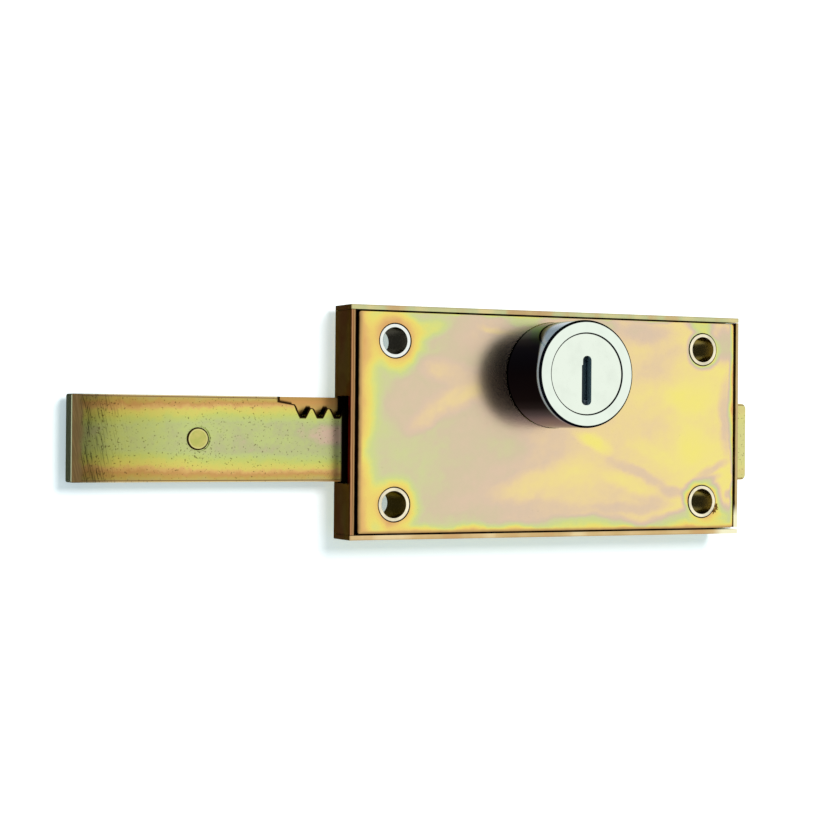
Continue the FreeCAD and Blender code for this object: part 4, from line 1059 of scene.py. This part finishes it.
class FormTree(Pattern):
    """A Geometry Nodes tree with named sizes, which is turned into a plain mesh."""

    family = "GeometryNode"

    def __init__(self, name: str) -> None:
        """Starts an empty tree.

        Args:
            name: the tree's name.
        """
        super().__init__(bpy.data.node_groups.new(name, "GeometryNodeTree"))
        self.tree.interface.new_socket("Geometry", in_out="OUTPUT", socket_type="NodeSocketGeometry")
        self.values: dict[str, float | int] = {}
        self.entry = self.tree.nodes.new("NodeGroupInput")

    def size(self, name: str, value: float | int) -> Value:
        """Adds a named input.

        Args:
            name: what the input sets.
            value: its value, a whole number for a count.

        Returns:
            The input.
        """
        kind = "NodeSocketInt" if isinstance(value, int) else "NodeSocketFloat"
        item = self.tree.interface.new_socket(name, in_out="INPUT", socket_type=kind)
        self.values[item.identifier] = value
        return Value(self, next(out for out in self.entry.outputs if out.identifier == item.identifier))

    def repeated(self, points: Value, instance: Value, **varied: Value) -> Value:
        """Puts a shape on every point, with a Rotation and Scale of its own where they are given."""
        return self.made("InstanceOnPoints", {"Points": points, "Instance": instance, **varied})

    def moved(self, shape: Value, **moves: Triple) -> Value:
        """Moves a shape by a Translation, Rotation and Scale."""
        return self.made("Transform", {"Geometry": shape, **moves})

    def to_mesh(self, shape: Value, material: bpy.types.Material) -> bpy.types.Mesh:
        """Ends the tree and evaluates it.

        Args:
            shape: what the tree has made.
            material: what it is made of.

        Returns:
            The plain mesh.
        """
        real = self.made("RealizeInstances", {"Geometry": shape})
        dressed = self.made("SetMaterial", {"Geometry": real, "Material": material})
        self.end("NodeGroupOutput", dressed)
        carrier = placed(self.tree.name, bpy.data.meshes.new(self.tree.name))
        modifier = carrier.modifiers.new("form", "NODES")
        modifier.node_group = self.tree
        for identifier, value in self.values.items():
            modifier[identifier] = value
        return as_plain(carrier)


@dataclass
class SubAssembly:
    """A sub-assembly: the CAD nodes that it dresses, each with its slot, and the body that they ride on."""

    finishes: Finishes
    body: str
    nodes: dict[str, str]
    crease: float = 38.0
    seam: float = 0.0005 * MM

    def add_piece(self, name: str, mesh: bpy.types.Mesh, slot: str, *replaced: str) -> None:
        """Adds a finished mesh to the lock.

        Args:
            name: the piece's name.
            mesh: its mesh, in the row frame.
            slot: the record's material slot.
            replaced: CAD nodes that it stands for.
        """
        mesh.name = name
        mesh.materials.clear()
        mesh.materials.append(self.finishes.material(slot))
        piece = placed(name, mesh)
        self.hold(piece)
        if replaced:
            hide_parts(*replaced)
        LOG.info("%s: %d faces on %s", name, len(mesh.polygons), self.body)

    def hold(self, piece: bpy.types.Object) -> None:
        """Makes a piece move with the sub-assembly's body."""
        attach(piece, self.body)

    def smoothed(self, frame: dict, node: str) -> bpy.types.Mesh:
        """A merged copy of a CAD node, shaded smooth except across its real edges.

        Args:
            node: the node's name.

        Returns:
            The copy.
        """
        shape = bmesh.new()
        shape.from_mesh(frame["nodes"][node].data)
        bmesh.ops.remove_doubles(shape, verts=shape.verts, dist=self.seam)
        limit = math.radians(self.crease)
        for edge in shape.edges:
            edge.smooth = len(edge.link_faces) == 2 and edge.calc_face_angle(math.pi) < limit
        for face in shape.faces:
            face.smooth = True
        merged = bpy.data.meshes.new(node)
        shape.to_mesh(merged)
        shape.free()
        carrier = placed(node, merged)
        carrier.modifiers.new("flats first", "WEIGHTED_NORMAL").keep_sharp = True
        return as_plain(carrier)

    def build(self, frame: dict) -> None:
        """Gives every node its finish, on a smoothed copy."""
        for node, slot in self.nodes.items():
            self.add_piece(f"{node}_finished", self.smoothed(frame, node), slot, node)


@dataclass
class WaferSprings(SubAssembly):
    """The coil springs under the wafers' lugs, which in the lock give way as the wafers slide in the plug;
    here they stay as modelled.
    """

    def hold(self, piece: bpy.types.Object) -> None:
        """Leaves a spring where it is, tied to no body, with its placement baked into its mesh.

        Args:
            piece: the spring's finished piece.
        """
        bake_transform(piece)


@dataclass
class FixingTubes(SubAssembly):
    """The four fixing tubes, with the staking marks round their swaged ends on the tray's back."""

    span_across: float = 94 * MM
    span_up: float = 42 * MM
    back: float = 12 * MM
    ring: float = 4.55 * MM
    mark: float = 0.42 * MM
    marks: int = 8
    flatness: float = 0.35

    def build(self, frame: dict) -> None:
        """Dresses the tubes and adds the marks.
        """
        super().build(frame)
        form = FormTree("staking")
        corners = form.made("MeshGrid", {
            "Size X": form.size("Span Across", self.span_across),
            "Size Y": form.size("Span Up", self.span_up), "Vertices X": 2, "Vertices Y": 2})
        ring = form.made("MeshCircle", {
            "Vertices": form.size("Marks", self.marks), "Radius": form.size("Ring Radius", self.ring)})
        bead = form.made("MeshIcoSphere", {
            "Radius": form.size("Mark Size", self.mark), "Subdivisions": 2})
        beads = form.repeated(ring, form.moved(bead, Scale=(1.0, 1.0, self.flatness)))
        marks = form.moved(form.repeated(corners, beads), Translation=(0.0, self.back, 0.0),
                           Rotation=(-math.pi / 2, 0.0, 0.0))
        mesh = form.to_mesh(marks, self.finishes.material("case_zinc"))
        mesh.shade_smooth()
        self.add_piece("staking_marks", mesh, "case_zinc")


@dataclass
class EdgeBurrs(SubAssembly):
    """Torn slivers left by the press at the cover's lower right fixing hole."""

    hole_across: float = 46.82 * MM
    hole_up: float = -21 * MM
    radius: float = 5.0 * MM
    face: float = 0.3 * MM
    start: float = -34.0
    sweep: float = 26.0
    slivers: int = 9
    width: float = 0.3 * MM
    length: float = 1.5 * MM
    least_turn: Triple = (0.9, -0.5, -0.9)
    most_turn: Triple = (1.5, 0.9, 0.6)
    least_growth: float = 0.35
    seed: int = 4

    def build(self, frame: dict) -> None:
        """Adds the slivers.
        """
        form = FormTree("burrs")
        arc = form.made("CurveArc", {
            "Resolution": form.size("Slivers", self.slivers), "Radius": form.size("Hole Radius", self.radius),
            "Start Angle": math.radians(self.start), "Sweep Angle": math.radians(self.sweep)})
        points = form.made("CurveToPoints", {"Curve": arc}, mode="EVALUATED")
        sliver = form.made("MeshCone", {
            "Vertices": 5, "Radius Top": 0.0, "Radius Bottom": form.size("Sliver Width", self.width),
            "Depth": form.size("Sliver Length", self.length)}, "Mesh")
        turn = form.made("FunctionNodeRandomValue", {
            "Seed": form.size("Seed", self.seed), 0: self.least_turn, 1: self.most_turn},
            data_type="FLOAT_VECTOR")
        growth = form.made("FunctionNodeRandomValue", {
            "Seed": self.seed + 1, 2: self.least_growth, 3: 1.0}, 1, data_type="FLOAT")
        burrs = form.moved(form.repeated(points, sliver, Rotation=turn, Scale=growth),
                           Translation=(self.hole_across, self.face, self.hole_up),
                           Rotation=(math.pi / 2, 0.0, 0.0))
        mesh = form.to_mesh(burrs, self.finishes.material("tube_steel"))
        self.add_piece("hole_burrs", mesh, "tube_steel")


# Studio


def toward(azimuth: float, elevation: float) -> Vector:
    """Direction from the lock, by degrees from the front to the right, and degrees up."""
    around, above = math.radians(azimuth), math.radians(elevation)
    return Vector((math.sin(around) * math.cos(above), -math.cos(around) * math.cos(above), math.sin(above)))


@dataclass(frozen=True)
class Card:
    """A card of the studio that only polished metal sees, as a patch of a sphere round the lock."""

    name: str
    azimuth: float
    elevation: float
    half_width: float
    half_height: float
    light: float
    fade: float = 0.35
    distance: float = 1.5
    steps: int = 12

    def material(self) -> bpy.types.Material:
        """A card of even light whose margin fades out.

        Returns:
            The material.
        """
        material = bpy.data.materials.new(self.name)
        pattern = drawn_on(material)
        across, up, _ = pattern.made("UVMap", uv_map="card").parts()
        inside = (1.0 - across.size()).rise(0.0, self.fade) * (1.0 - up.size()).rise(0.0, self.fade)
        glow = pattern.made("Emission", {"Color": (*WHITE, 1.0), "Strength": self.light})
        pattern.end("ShaderNodeOutputMaterial", inside.blended(pattern.clear(), glow))
        return material

    def build(self) -> None:
        """Makes the card."""
        shape = bmesh.new()
        layout = shape.loops.layers.uv.new("card")
        shares = [2 * step / self.steps - 1 for step in range(self.steps + 1)]
        rows = []
        for up in shares:
            spots = [toward(self.azimuth + across * self.half_width, self.elevation + up * self.half_height)
                     for across in shares]
            rows.append([(shape.verts.new(spot * self.distance), (across, up))
                         for spot, across in zip(spots, shares)])
        for below, above in zip(rows, rows[1:]):
            for corners in zip(below, below[1:], above[1:], above):
                face = shape.faces.new([vertex for vertex, _ in corners])
                for loop, (_, share) in zip(face.loops, corners):
                    loop[layout].uv = share
        mesh = bpy.data.meshes.new(self.name)
        shape.to_mesh(mesh)
        shape.free()
        mesh.materials.append(self.material())
        card = placed(self.name, mesh)
        for ray in ("camera", "diffuse", "shadow", "transmission"):
            setattr(card, f"visible_{ray}", False)


@dataclass(frozen=True)
class SoftLamp:
    """A square lamp that lights the table and the lock, and that metal doesn't mirror."""

    name: str
    azimuth: float
    elevation: float
    power: float
    width: float
    distance: float = 1.2

    def build(self) -> None:
        """Makes the lamp."""
        lamp = bpy.data.lights.new(self.name, "AREA")
        lamp.energy = self.power
        lamp.size = self.width
        away = toward(self.azimuth, self.elevation)
        holder = placed(self.name, lamp)
        holder.location = away * self.distance
        holder.rotation_mode = "QUATERNION"
        holder.rotation_quaternion = away.to_track_quat("Z", "Y")
        holder.visible_glossy = False


@dataclass
class Studio:
    """A white table behind the lock, a soft lamp, a card for the polished metal, and the camera."""

    table_depth: float = 13.9 * MM
    table_half: float = 0.9
    table_glow: Triple = (0.24, 0.33, 0.37)
    table_colour: Triple = (0.8, 0.8, 0.8)
    room_colour: Triple = (0.94, 1.0, 1.0)
    room_light: float = 0.55
    card: Card = Card("dark_back", -158, 2, 48, 40, 0.05)
    lamp: SoftLamp = SoftLamp("key", 6, 18, 10.5, 0.34)
    lens: float = 85.96
    sensor: float = 36.0
    nearest: float = 0.01
    camera_place: Triple = (-0.260794, -0.458349, -0.001255)
    camera_axes: tuple[Triple, Triple, Triple] = (
        (0.90228017, -0.43106983, 0.00832491), (-0.01060385, -0.00288407, 0.99993962),
        (-0.43101979, -0.90231396, -0.00717324))

    def build_world(self) -> None:
        """A room that is white to look at and in the metal, and lights the lock softly."""
        world = bpy.data.worlds.new("room")
        bpy.context.scene.world = world
        pattern = drawn_on(world)
        seen = pattern.ray("Camera").most(pattern.ray("Glossy")).most(pattern.ray("Transmission"))
        pattern.end("ShaderNodeOutputWorld", pattern.made("Background", {
            "Color": seen.mixed(self.room_colour, WHITE), "Strength": seen.between(self.room_light, 1.0)}))

    def table_material(self) -> bpy.types.Material:
        """White table that keeps the lock's shadow and is clear from behind.

        Returns:
            The material.
        """
        material = bpy.data.materials.new("table")
        pattern = drawn_on(material)
        matt = pattern.made("BsdfDiffuse", {"Color": (*self.table_colour, 1.0)})
        glow = pattern.made("Emission", {
            "Color": (*self.table_glow, 1.0), "Strength": pattern.ray("Camera")})
        both = pattern.made("AddShader", {0: matt, 1: glow})
        unseen = pattern.made("NewGeometry", output="Backfacing").most(pattern.ray("Shadow"))
        pattern.end("ShaderNodeOutputMaterial", unseen.blended(both, pattern.clear()))
        return material

    def build_table(self) -> None:
        """Lays the table behind the lock, facing the camera."""
        half = self.table_half
        corners = [(across, self.table_depth, up)
                   for across, up in ((-half, -half), (half, -half), (half, half), (-half, half))]
        mesh = bpy.data.meshes.new("table")
        mesh.from_pydata(corners, [], [(0, 1, 2, 3)])
        mesh.materials.append(self.table_material())
        table = placed("table", mesh)
        table.visible_glossy = False

    def build_camera(self) -> None:
        """Puts the camera where the photograph was taken from."""
        data = bpy.data.cameras.new("camera")
        data.lens = self.lens
        data.sensor_width = self.sensor
        data.clip_start = self.nearest
        camera = placed("camera", data)
        turned = Matrix(self.camera_axes).transposed().to_4x4()
        camera.matrix_world = Matrix.Translation(self.camera_place) @ turned
        bpy.context.scene.camera = camera

    def build(self) -> None:
        """Sets up the whole studio."""
        self.build_world()
        self.build_table()
        self.card.build()
        self.lamp.build()
        self.build_camera()
        bpy.context.scene.view_settings.view_transform = "Standard"
        LOG.info("studio: table, %s card, %s lamp and camera", self.card.name, self.lamp.name)


def main() -> None:
    """Dresses the lock and sets up the studio."""
    logging.basicConfig(level=logging.INFO, format="%(name)s %(message)s")
    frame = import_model()
    finishes = Finishes()
    slots = {part["node"]: part["material_slot"] for part in frame["record"]["subparts"]}
    bodies = frame["record"]["behaviour"]["bodies"]
    tubes = {node: slots[node] for node in bodies["case"] if node.startswith("fixing_tube")}
    housing = {node: slots[node] for node in bodies["case"] if node not in tubes}
    assemblies = [FixingTubes(finishes, "case", tubes), SubAssembly(finishes, "case", housing),
              EdgeBurrs(finishes, "case", {})]
    for body, nodes in bodies.items():
        if body != "case":
            rigid = {node: slots[node] for node in nodes if "spring" not in node}
            assemblies.append(SubAssembly(finishes, body, rigid))
    springs = {node: slots[node] for node in bodies["plug"] if "spring" in node}
    assemblies.append(WaferSprings(finishes, "plug", springs))
    for assembly in assemblies:
        assembly.build(frame)
    Studio().build()


if __name__ == "__main__":
    main()
